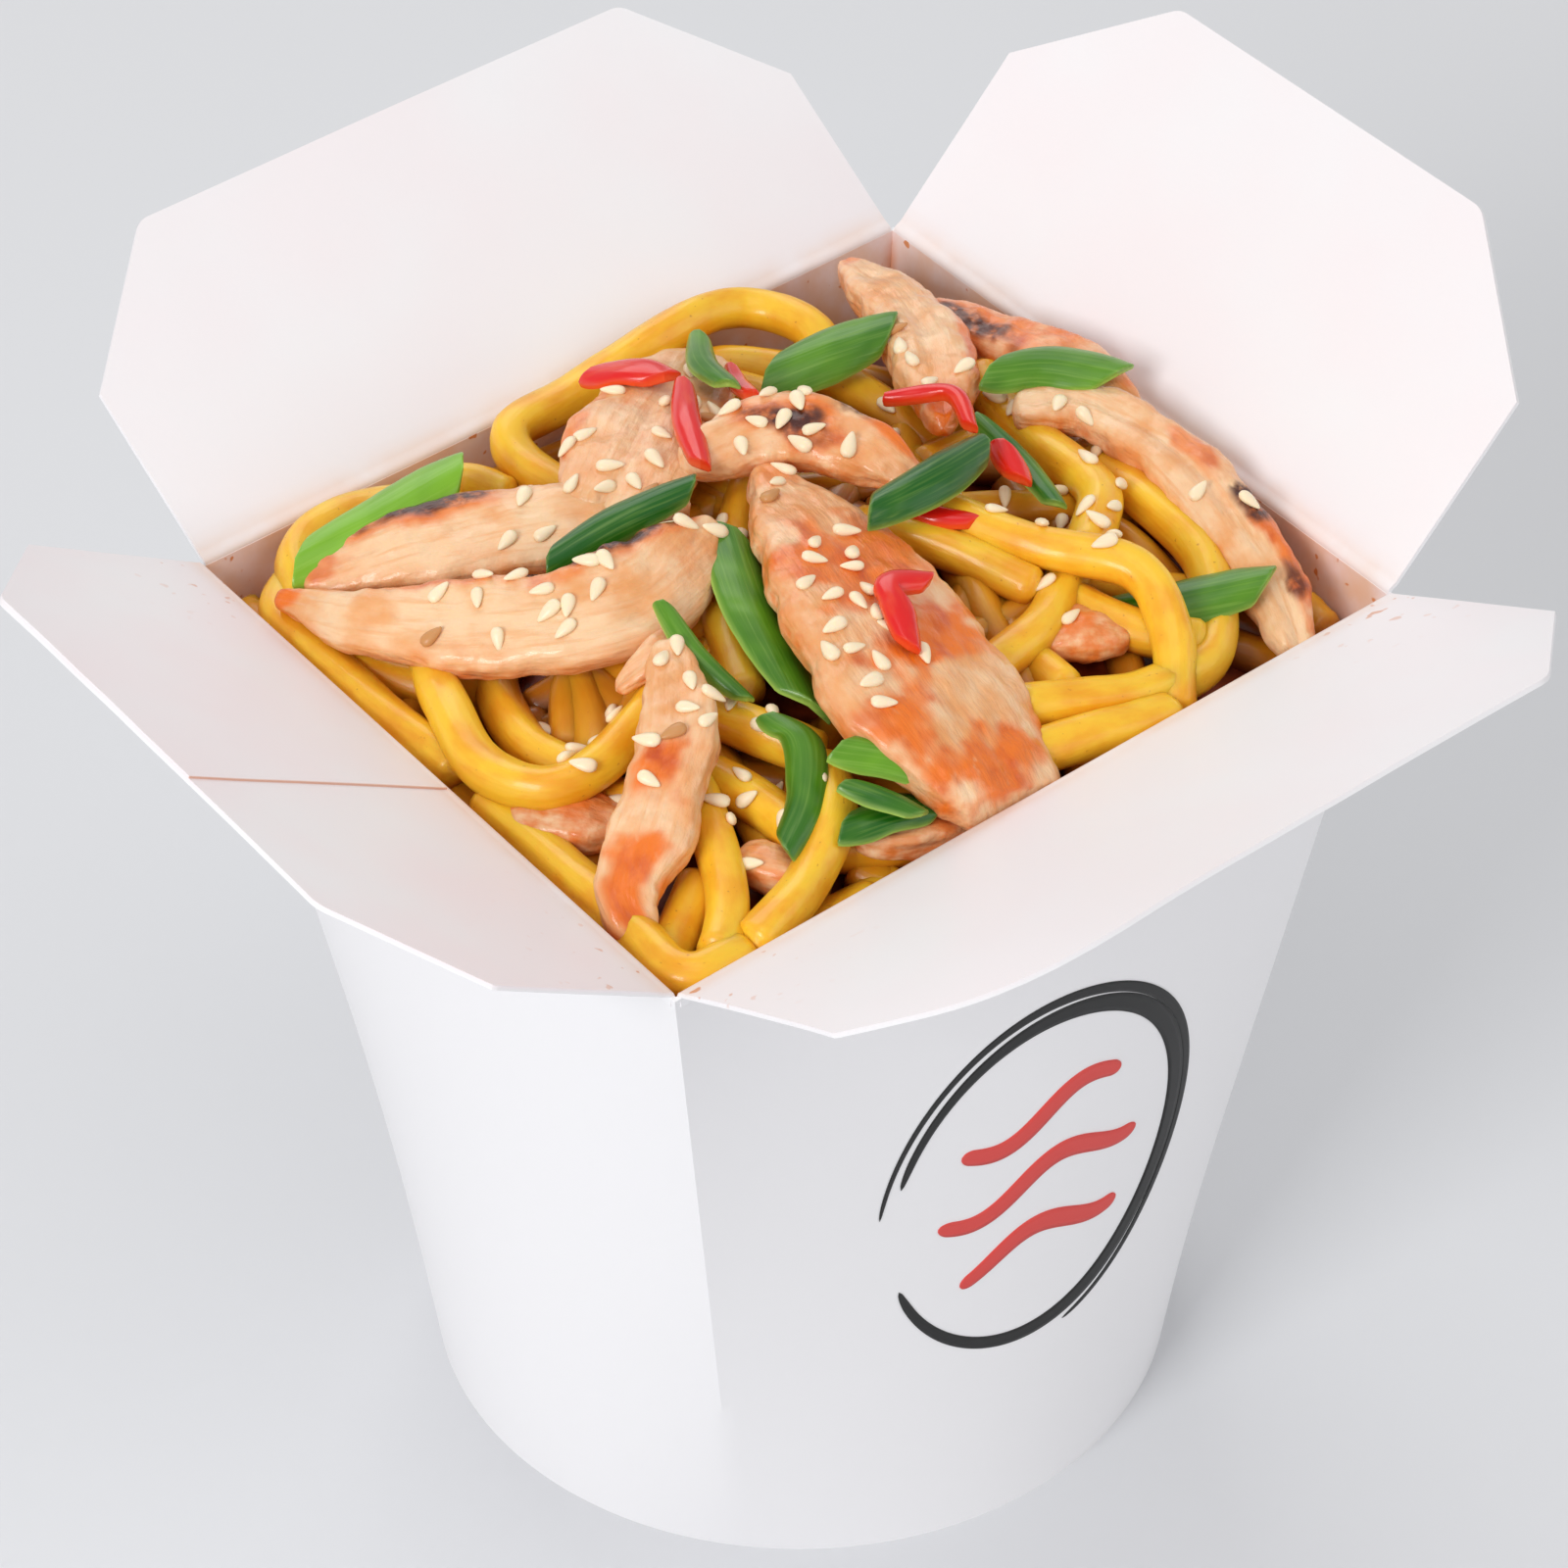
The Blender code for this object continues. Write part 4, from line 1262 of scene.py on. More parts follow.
NOODLE_ROUTES: list[Route] = [
    [(-9, 26, 0), (-10, 35, 0), (-8, 40, 1), (1, 41, 1), (13, 41, 4), (25, 41, 3), (29, 32, 2), (25, 23, -2)],
    [(12, 39, -5), (18, 38, -1), (24, 31, 0), (26, 20, 1), (27, 7, 0)],
    [(4, 35, -4), (10, 34, 1), (17, 28, 1), (20, 17, -1)],
    [(-43, 30, -1), (-39, 37, 0), (-33, 39, 1), (-25, 38, 0), (-20, 31, 0)],
    [(-25, 37, -2), (-17, 38, -1), (-14, 32, -1)],
    [(-40, 37, -2), (-45, 32, -2), (-46, 22, -2), (-46, 10, -2), (-45, -2, -2)],
    [(-41, 35, -3), (-43, 24, -3), (-41, 16, -3), (-34, 5, -2)],
    [(-36, 17, 0), (-42, 6, 1), (-45, -4, 1), (-43, -12, 1), (-37, -14, 2), (-30, -12, 3), (-23, -9, 4)],
    [(-32, 11, -1), (-36, 4, -1), (-38, -4, -1), (-37, -12, -1)],
    [(-41, -7, -3), (-37, -13, -3), (-31, -19, -2)],
    [(-36, -11, -2), (-30, -9, -1), (-22, -6, 1)],
    [(5, 13, 5), (-6, 3, 4), (-13, -5, 4), (-19, -16, 3)],
    [(-24, -13, 3), (-22, -19, 3), (-18, -28, 2)],
    [(-28, -20, 1), (-26, -28, 0), (-26, -36, -1)],
    [(-29, -19, 1), (-34, -30, 0), (-38, -37, -1), (-43, -42, -2)],
    [(-18, -27, 2), (-23, -35, 1), (-31, -40, -1), (-40, -43, -2)],
    [(-46, -6, -3), (-46, -22, -3), (-47, -35, -2), (-47, -42, -2), (-40, -43, -3)],
    [(-47, -37, -4), (-42, -34, -4), (-36, -30, -3)],
    [(15, -6, 6), (19, -17, 6), (25, -26, 5), (24, -34, 2), (19, -41, -3)],
    [(38, 15, 2), (35, 1, 2), (33, -12, 3), (24, -20, 3)],
    [(7, -1, 5), (12, -11, 5), (17, -21, 3)],
    [(26, -17, 2), (15, -24, 2), (3, -28, 2)],
    [(20, -17, 1), (22, -28, 0), (28, -36, -1)],
    [(41, 1, -2), (39.5, -8, 0), (38, -14, 1), (36, -26, 0), (28, -36, -1.5), (16, -37, -1), (3, -33, 1)],
    [(0, -38, -1), (10, -40, -1), (19, -41, -2)],
    [(14, -11, 1), (12, -22, 0), (11, -33, -1)],
    [(-27, -32, -2), (-20, -37, -3), (-11, -40, -3)],
]


@dataclass
class Noodles:
    """The noodles that show, shorter ones that fill the gaps below them, and the core they lie on.

    A noodle's surface turns about its middle by a radian every twist_pitch mm. A filler is placed by
    the seeded draw: its spread is part of the half rim, its bend is radians a millimetre, and its lift
    is how far it lies over the core.
    """

    heap: Heap
    radius: float = 2.35
    sides: int = 18
    pitch: float = 0.75
    squareness: float = 2.7
    twist_pitch: float = 34.0
    round_end: float = 1.6
    wander: Unevenness = Unevenness(9.0, 0.35, 3, 1)
    girth: Unevenness = Unevenness(7.0, 0.07, 11, 1)
    skin: Unevenness = Unevenness(1.8, 0.05, 17)
    mottle: Unevenness = Unevenness(6.0, 0.12, 23, 1)
    lane_step: float = 9.0
    grain_step: float = 31.0
    wall_gap: float = 0.15
    deep_shade: float = 1.05
    deep_power: float = 1.6
    under_shade: float = 0.3
    fillers: int = 72
    filler_reach: float = 26.0
    filler_steps: int = 6
    filler_spread: float = 0.9
    filler_bend: float = 0.06
    filler_lift: tuple[float, float] = (-2.2, 0.6)
    filler_size: tuple[float, float] = (0.86, 1.02)
    filler_limit: tuple[float, float] = (46.0, 41.0)
    core_lump: Unevenness = Unevenness(7.0, 1.2, 31)
    core_sink: float = 1.5
    core_gap: float = 0.5
    core_sides: int = 120
    core_levels: int = 6
    core_rings: int = 34

    def tube(self, shell: Shell, points: Route, radius: float, seed: int) -> None:
        """Add one noodle: a squarish tube that wanders a little in place and width, with round ends.

        Its value of sauce soak and painted shade grows with the depth in the heap, and is higher on the
        underside, where shade falls.

        Args:
            shell: takes the noodle.
            points: its route.
            radius: half its thickness.
            seed: sets its own unevenness.
        """
        walls = self.heap.walls
        rings = 8 + int(route_length(points) / self.pitch)
        length = rings * self.pitch
        share = np.linspace(0, 1, rings)
        route = smooth_route(points, rings, walls.height)
        gone = np.arange(rings) * self.pitch
        lane = np.stack([gone, np.full(rings, seed * self.lane_step), np.zeros(rings)], -1)
        route = route + np.stack([self.wander.at(lane, axis) for axis in range(3)], -1)
        route = walls.keep_inside(route, walls.card + radius)
        _, across, over = section_frames(route, 0.0)
        turn = np.linspace(0, math.tau, self.sides, endpoint=False)
        twist = turn + (seed % 7) + share[:, None] * length / self.twist_pitch
        size = radius * superellipse(turn, self.squareness) * (1 + self.girth.at(lane)[:, None])
        size = size * blunt(share, self.round_end / length)[:, None]
        out, rise = np.cos(twist) * size, np.sin(twist) * size
        grid = route[:, None] + across[:, None] * out[..., None] + over[:, None] * rise[..., None]
        grid = grid + self.skin.at(grid)[..., None] * unit(grid - route[:, None])
        grid = walls.keep_inside(grid, walls.card + self.wall_gap)
        grain = np.stack([gone[:, None] * np.ones(self.sides) + seed * self.grain_step, out, rise], -1)
        # Painted shade: deeper places and the underside get a higher value, which the material turns browner
        under = np.clip(-unit(grid - route[:, None])[..., 2], 0, 1)
        soak_and_shade = self.deep_shade * self.heap.depth(grid) ** self.deep_power
        soak_and_shade = soak_and_shade + self.under_shade * under + self.mottle.at(grid)
        shell.add(grid, Cap.POLE, grain=grain, soak_and_shade=np.clip(soak_and_shade, 0, 1))

    def filler_route(self, draw: random.Random) -> Route:
        """A short curved route just over the core.

        Args:
            draw: the seeded draw, which is asked for x, y, bearing, bend and lift in that order.

        Returns:
            The route's points.
        """
        halves = (self.heap.walls.half_x, self.heap.walls.half_y)
        x, y = (draw.uniform(-self.filler_spread, self.filler_spread) * half for half in halves)
        angle = draw.uniform(0, math.tau)
        bend = draw.uniform(-self.filler_bend, self.filler_bend)
        lift = draw.uniform(*self.filler_lift)
        limit_x, limit_y = self.filler_limit
        step = self.filler_reach / 3
        route = []
        for _ in range(self.filler_steps):
            rise = float(self.heap.top(np.array(x), np.array(y))) - self.heap.walls.height
            route.append((x, y, rise + lift))
            x = max(-limit_x, min(limit_x, x + math.cos(angle) * step))
            y = max(-limit_y, min(limit_y, y + math.sin(angle) * step))
            angle += bend * step
        return route

    def core(self) -> bpy.types.Object:
        """The mass under the noodles, from the box's floor up to a bumpy dome, dark brown as sauce and as
        painted shade in the gaps.

        Returns:
            The core, not yet settled on a body.
        """
        walls = self.heap.walls
        inset = walls.card + self.core_gap
        edge = walls.height + self.heap.edge_rise
        turn = np.linspace(0, 4, self.core_sides, endpoint=False)
        levels = np.linspace(inset, edge - 1, self.core_levels)
        rings = [walls.place(turn, np.full(turn.shape, level), inset) for level in levels]
        rim = rings[-1]
        for part in np.linspace(0.98, 0.03, self.core_rings):
            ring = rim * np.array([part, part, 1])
            ring[:, 2] = self.heap.top(ring[:, 0], ring[:, 1]) - self.core_sink
            ring[:, 2] += self.core_lump.at(ring)
            rings.append(ring)
        shell = Shell()
        shell.add(np.array(rings), Cap.POLE)
        return shell.build("sauce_and_shade_core", SAUCE_AND_SHADE)

    def build(self) -> list[bpy.types.Object]:
        """Make the noodles on top, those below, and the core.

        Returns:
            The two pieces of noodles, on which seeds may lie.
        """
        top = Shell()
        for index, points in enumerate(NOODLE_ROUTES):
            self.tube(top, points, self.radius, index + 1)
        below = Shell()
        draw = random.Random(12)
        for index in range(self.fillers):
            route = self.filler_route(draw)
            self.tube(below, route, self.radius * draw.uniform(*self.filler_size), index + 50)
        shown = settle(top.build("noodles_on_top", NOODLE), "box", "noodle", "noodle_heap")
        filling = settle(below.build("noodles_below", NOODLE), "box", "noodle")
        settle(self.core(), "box", "noodle")
        return [shown, filling]


@dataclass(frozen=True)
class Scorch:
    """One mark of the grill: a soft-edged patch, placed by its part of the length and half width."""

    mark: Mark
    along: float
    across: float
    length: float
    width: float
    slant: float = 0.0
    strength: float = 1.0
    fringe: float = 0.6
    power: float = 2.8
    ragged: float = 0.8

    def value(self, share: np.ndarray, aside: np.ndarray, rough: np.ndarray) -> np.ndarray:
        """Strength of the mark at each place.

        How far a place lies inside is 1 less the superellipse distance (far to the power + wide to the
        power) to 1 / power, made ragged by noise. The strength is a smooth step of that over the fringe.

        Args:
            share: place along the piece, from 0 to 1.
            aside: place across it, from -1 to 1.
            rough: noise at each place.

        Returns:
            Values from 0 to the mark's strength.
        """
        far = (share - self.along - self.slant * aside) / self.length
        wide = (aside - self.across) / self.width
        reach = (np.abs(far) ** self.power + np.abs(wide) ** self.power) ** (1 / self.power)
        inside = 1 - reach + self.ragged * rough
        step = np.clip(inside / self.fringe, 0, 1)
        return self.strength * step * step * (3 - 2 * step)


@dataclass
class Chicken:
    """One piece of sliced breast: a squarish slab that swells and tapers, torn and fibrous.

    peak is where along the piece it is widest, taper is the power of its swelling, glaze is how much
    sauce coats it, and furrow is how deep the groove along its upper side is.
    """

    name: str
    points: Route
    width: float
    depth: float
    marks: tuple[Scorch, ...] = ()
    roll: float = 0.0
    taper: float = 0.4
    peak: float = 0.5
    glaze: float = 0.8
    furrow: float = 0.0
    seed: int = 1
    width_trim: float = 0.03
    depth_trim: float = 0.1
    round_end: float = 0.8
    squareness: float = 3.2
    relief_limit: float = 0.9
    fibre_length: float = 5.0
    furrow_width: float = 1.1
    wall_gap: float = 0.2
    pitch: float = 0.42
    end_rings: int = 24
    side_pitch: float = 0.5
    least_sides: int = 28
    width_noise: Unevenness = Unevenness(8.0, 0.12, 41)
    depth_noise: Unevenness = Unevenness(9.0, 0.16, 43)
    torn_edge: Unevenness = Unevenness(6.0, 0.09, 45)
    drift: Unevenness = Unevenness(10.0, 0.7, 47)
    lump: Unevenness = Unevenness(6.0, 0.7, 53)
    bump: Unevenness = Unevenness(2.2, 0.3, 59)
    fibre: Unevenness = Unevenness(1.1, 0.26, 61)
    furrow_wander: Unevenness = Unevenness(14.0, 1.2, 67, 1)
    mark_edge: Unevenness = Unevenness(3.2, 1.0, 71)
    glaze_noise: Unevenness = Unevenness(7.0, 0.5, 73)

    def section(self, share: np.ndarray, lane: np.ndarray, turn: np.ndarray,
                ends: np.ndarray) -> tuple[np.ndarray, np.ndarray, np.ndarray]:
        """The slab's outline round its middle: a superellipse whose left and right edge are torn apart.

        Args:
            share: 0 to 1 along the piece.
            lane: places at which the noise along the piece is read.
            turn: directions round the section.
            ends: how the size shrinks at both ends.

        Returns:
            Places across and over the middle, and half the width along the piece.
        """
        past_peak = (share + 1 - 2 * self.peak) / (1 - self.peak) / 2
        spread = np.where(share < self.peak, share / self.peak / 2, past_peak)
        wide = self.width / 2 * swell(spread, self.width_trim, self.taper)
        wide = wide * (1 + self.width_noise.at(lane)) * ends
        deep = self.depth / 2 * swell(share, self.depth_trim, 0.5) * (1 + self.depth_noise.at(lane)) * ends
        right, left = (1 + self.torn_edge.at(lane + shift)[:, None] for shift in (30, 60))
        side = np.clip(0.5 + np.cos(turn), 0, 1)
        ragged = right * side + left * (1 - side)
        square = superellipse(turn, self.squareness)
        out = np.cos(turn) * square * wide[:, None] * ragged + self.drift.at(lane + 90)[:, None]
        return out, np.sin(turn) * square * deep[:, None], wide

    def relief(self, grain: np.ndarray, lane: np.ndarray, wide: np.ndarray) -> np.ndarray:
        """How far the skin stands out: lumps and long fibres, less the furrow.

        Args:
            grain: places in mm along, across and over the piece.
            lane: places at which the noise along the piece is read.
            wide: half the width along the piece.

        Returns:
            The relief in mm, kept under its limit.
        """
        out, rise = grain[..., 1], grain[..., 2]
        lumps = self.lump.at(grain) + self.bump.at(grain)
        fibres = self.fibre.at(grain / np.array([self.fibre_length, 1.0, 1.0]))
        middle = self.furrow_wander.at(lane)[:, None]
        groove = self.furrow * np.exp(-((out - middle) / self.furrow_width) ** 2) * (rise > 0)
        return np.minimum(lumps * np.minimum(1, wide / 2.5)[:, None] + fibres - groove, self.relief_limit)

    def scorched(self, share: np.ndarray, aside: np.ndarray, grain: np.ndarray) -> dict[str, np.ndarray]:
        """Sear and char at each place: the strongest of the piece's marks of each kind.

        Args:
            share: 0 to 1 along the piece.
            aside: -1 to 1 across it.
            grain: places in mm along, across and over the piece.

        Returns:
            The values, by the mesh attribute's name.
        """
        rough = self.mark_edge.at(grain)
        values = {mark.value: np.zeros(rough.shape) for mark in Mark}
        for scorch in self.marks:
            patch = scorch.value(share[:, None], aside, rough)
            values[scorch.mark.value] = np.maximum(values[scorch.mark.value], patch)
        return values

    def build(self, walls: Walls) -> bpy.types.Object:
        """Make the slab, rough its skin, and set its glaze, sear and char.

        Args:
            walls: the walls that it stays inside.

        Returns:
            The new piece.
        """
        length = route_length(self.points)
        rings = self.end_rings + int(length / self.pitch)
        sides = self.least_sides + 2 * int(self.width / self.side_pitch)
        share = np.linspace(0, 1, rings)
        turn = np.linspace(0, math.tau, sides, endpoint=False)
        route = smooth_route(self.points, rings, walls.height)
        _, across, over = section_frames(route, self.roll)
        lane = np.stack([share * length, np.full(rings, self.seed * 17.0), np.zeros(rings)], -1)
        ends = blunt(share, self.round_end / length)
        out, rise, wide = self.section(share, lane, turn, ends)
        grain = np.stack([share[:, None] * length + np.zeros(sides) + self.seed * 40, out, rise], -1)
        outward = unit(across[:, None] * np.cos(turn)[:, None] + over[:, None] * np.sin(turn)[:, None])
        grid = route[:, None] + across[:, None] * out[..., None] + over[:, None] * rise[..., None]
        grid = grid + outward * (self.relief(grain, lane, wide) * ends[:, None])[..., None]
        grid = walls.keep_inside(grid, walls.card + self.wall_gap)
        aside = np.cos(turn) * superellipse(turn, self.squareness) * np.ones((rings, 1))
        border = 0.45 * np.abs(np.cos(turn)) ** 8
        coat = np.clip(self.glaze + self.glaze_noise.at(grain) + 0.25 * (rise < 0) + border, 0, 1)
        shell = Shell()
        shell.add(grid, Cap.POLE, grain=grain, glaze=coat, **self.scorched(share, aside, grain))
        return settle(shell.build(f"{self.name}_piece", MEAT), "box", "chicken", self.name)


def sear(along: float, across: float, length: float, width: float, **more: float) -> Scorch:
    """An orange grill mark."""
    return Scorch(Mark.SEAR, along, across, length, width, **more)


def char(along: float, across: float, length: float, width: float, **more: float) -> Scorch:
    """A burnt grill mark."""
    return Scorch(Mark.CHAR, along, across, length, width, **more)


CHICKEN = [
    Chicken("chicken_back_strip", [(40, 41, 2), (37, 27, 4), (32, 15, 6), (24, 4, 7)],
            10.0, 5.5, taper=0.7, peak=0.6, glaze=0.25, furrow=0.35, marks=(
                sear(0.93, 0.0, 0.14, 1.2),
                sear(0.68, -0.95, 0.25, 0.35, strength=0.9),
                sear(0.02, 0.0, 0.07, 1.2, strength=0.8),
            )),
    Chicken("chicken_charred_strip", [(42, 28, 2), (43, 16, 3), (45, 5, 4), (45, -5, 3)],
            7.5, 5.0, glaze=0.5, marks=(
                char(0.3, 0.35, 0.26, 0.7, strength=0.95),
                sear(0.4, 0.0, 0.5, 1.4, strength=0.85),
            )),
    Chicken("chicken_right_strip", [(34, 4, 5), (41, -1, 4), (43, -14, 3), (41, -28, 0), (36, -41, -3)],
            8.0, 6.0, roll=5, taper=0.3, peak=0.6, glaze=0.12, furrow=0.5, marks=(
                char(0.6, -0.65, 0.07, 0.36),
                char(0.84, -0.6, 0.07, 0.34, strength=0.85),
                sear(0.44, -0.4, 0.13, 0.5, strength=0.7),
                sear(0.78, -0.75, 0.22, 0.45, strength=0.95),
            )),
    Chicken("chicken_fold", [(13, 33, 5), (1, 25, 7), (-7, 19, 8), (-15, 14, 8)],
            17.0, 5.0, taper=0.45, peak=0.6, glaze=0.2, furrow=0.4, marks=(
                sear(0.72, 0.95, 0.2, 0.25, strength=0.7),
                sear(0.2, 0.5, 0.1, 0.4, strength=0.35),
            )),
    Chicken("chicken_top_strip", [(-5, 13, 10), (5, 11, 11), (11, 4, 11), (14, -5, 9)],
            9.5, 5.0, roll=18, taper=0.6, peak=0.45, glaze=0.2, marks=(
                char(0.47, -0.05, 0.16, 0.65, slant=0.1),
                char(0.64, -0.8, 0.1, 0.35, strength=0.9),
                sear(0.5, -0.2, 0.24, 0.95, slant=0.1, strength=0.9),
                sear(0.82, -0.75, 0.22, 0.5),
            )),
    Chicken("chicken_left_slice", [(-42, 32, 1), (-32, 26, 4), (-20, 19, 6), (-6, 10, 7)],
            10.5, 5.0, roll=18, taper=0.5, glaze=0.12, marks=(
                char(0.36, -0.85, 0.26, 0.34),
                sear(0.36, -0.7, 0.36, 0.42, strength=0.8),
                sear(0.05, 0.0, 0.08, 0.9, strength=0.6),
            )),
    Chicken("chicken_long_slice", [(-46, 31, 1), (-41, 17, 4), (-32, 5, 6.5), (-22, -1, 8.5), (-8, 3, 9.5)],
            12.5, 5.0, roll=25, taper=0.8, peak=0.72, glaze=0.08, marks=(
                char(0.78, -0.92, 0.18, 0.26),
                sear(0.76, -0.86, 0.26, 0.4, strength=0.75),
                sear(0.3, -0.95, 0.25, 0.25, strength=0.7),
                sear(0.0, 0.0, 0.07, 1.4),
            )),
    Chicken("chicken_grilled_slice", [(2, 8, 8.5), (-2, -11, 9), (-6, -30, 6), (-6, -42, 0), (-6, -48, -5)],
            23.0, 6.5, roll=-16, taper=0.8, peak=0.62, glaze=0.15, marks=(
                sear(0.04, 0.0, 0.07, 1.1, strength=0.5),
                sear(0.35, -0.1, 0.13, 1.4, slant=0.02, strength=0.95),
                sear(0.605, -0.15, 0.1, 1.35, slant=0.1),
                sear(0.82, 0.0, 0.08, 1.4, slant=0.03),
            )),
    Chicken("chicken_front_strip",
            [(-24, -10, 9), (-32, -21, 7), (-40, -27, 3), (-46, -31, 0), (-47, -35, -4)],
            9.0, 5.5, taper=0.55, glaze=0.2, marks=(
                sear(0.48, 0.2, 0.11, 0.8, slant=0.04),
                sear(0.82, 0.1, 0.18, 1.2, slant=0.09),
            )),
    Chicken("chicken_shred", [(-21, -8, 8.5), (-26, -9, 7.5), (-30, -8, 5)],
            4.5, 2.6, glaze=0.6, furrow=0.5),
    Chicken("chicken_left_bit", [(-44, -9, -2), (-42, -14, -2), (-38, -20, -2)],
            8.0, 4.0, marks=(
                sear(0.5, 0.0, 0.3, 0.8, strength=0.6),
            )),
    Chicken("chicken_front_bit", [(-32, -31, -1.5), (-30, -35, -1.5), (-27, -38, -2)],
            6.0, 4.0),
    Chicken("chicken_right_bit", [(12, -24, 0.5), (18, -27, 0.5), (22, -30, 0)],
            7.0, 4.0, glaze=0.9, marks=(
                sear(0.5, 0.0, 0.3, 0.8, strength=0.7),
            )),
    Chicken("chicken_edge_bit", [(-22, -37, 0), (-17, -40, -1), (-9, -41, -3)],
            5.0, 4.0),
]


@dataclass
class Strip:
    """A thin curled strip of vegetable: an arched sheet, its ends cut on the slant.

    tone is 0 for a dark and 1 for a light one, skin is its thickness, and wave is how uneven it is.
    """

    name: str
    points: Route
    width: float
    arch: float
    roll: float
    tone: float
    skin: float
    finish: Finish
    slot: str
    seed: int = 1
    trim: float = 0.1
    power: float = 0.4
    slant: float = 0.9
    round_end: float = 0.5
    crease: float = 60.0
    wave: Unevenness = Unevenness(5.0, 0.25, 83)
    sway: Unevenness = Unevenness(8.0, 0.2, 89, 1)
    tone_noise: Unevenness = Unevenness(6.0, 0.25, 97)
    rim_width: float = 0.35
    tip_width: float = 0.6
    pitch: float = 0.35
    end_rings: int = 16
    side_pitch: float = 0.4
    least_sides: int = 8

    def build(self, walls: Walls) -> bpy.types.Object:
        """Make the strip, a little wavy, with its tone and its paler edges.

        Its height over the middle is -arch x (place across / half)^2, half the skin up or down, and
        waves that grow towards its sides.

        Args:
            walls: the walls whose rim its rise is counted from.

        Returns:
            The new piece.
        """
        length = route_length(self.points)
        rings = self.end_rings + int(length / self.pitch)
        half = self.least_sides + int(self.width / self.side_pitch)
        route = smooth_route(self.points, rings, walls.height)
        share = np.linspace(0, 1, rings)
        ahead, across, over = section_frames(route, self.roll)
        wide = (swell(share, self.trim, self.power) * blunt(share, self.round_end / length))[:, None]
        side = np.linspace(-1, 1, half)
        aside = np.concatenate([side, side[::-1]])
        face = np.concatenate([np.ones(half), -np.ones(half)])
        thin = self.skin / 2 * (1 - 0.55 * aside ** 6)
        out = aside * (self.width / 2 * wide)
        lane = np.stack([share * length, np.full(rings, self.seed * 13.0), np.zeros(rings)], -1)
        along = share[:, None] * length + np.zeros(2 * half)
        place = np.stack([along, out, np.full(out.shape, self.seed * 5.0)], -1)
        rise = -self.arch * wide * aside ** 2 + face * thin
        rise = rise + self.wave.at(place) * np.abs(aside) + self.sway.at(lane)[:, None]
        slanted = (across - ahead * self.slant)[:, None] * out[..., None]
        grid = route[:, None] + slanted + over[:, None] * rise[..., None]
        grain = np.stack([along + self.seed * 20, out, rise], -1)
        tip = np.minimum(share, 1 - share)[:, None] * length
        edge = np.clip(1 - (self.width / 2 * wide * (1 - np.abs(aside))) / self.rim_width, 0, 1)
        edge = np.maximum(edge, np.clip(1 - tip / self.tip_width, 0, 1)) * (0.5 + 0.5 * (face < 0))
        tone = np.clip(self.tone + self.tone_noise.at(grain) + 0.3 * (face < 0), 0, 1)
        shell = Shell()
        shell.add(grid, Cap.STRIP, grain=grain, edge=edge, tone=tone)
        made = shell.build(f"{self.name}_slice", self.finish, self.crease)
        return settle(made, "box", self.slot, self.name)


def onion(name: str, points: Route, width: float, arch: float, roll: float, tone: float) -> Strip:
    """A slice of spring onion, 0.9 mm thick."""
    return Strip(f"onion_{name}", points, width, arch, roll, tone, 0.9, LEAF, "spring_onion")


def chilli(name: str, points: Route, width: float, arch: float, roll: float = 0.0) -> Strip:
    """A slice of red chilli, 1.4 mm thick and less wavy than a leaf."""
    return Strip(f"chilli_{name}", points, width, arch, roll, 0.0, 1.4, SKIN, "chilli",
                 wave=Unevenness(5.0, 0.1, 83))


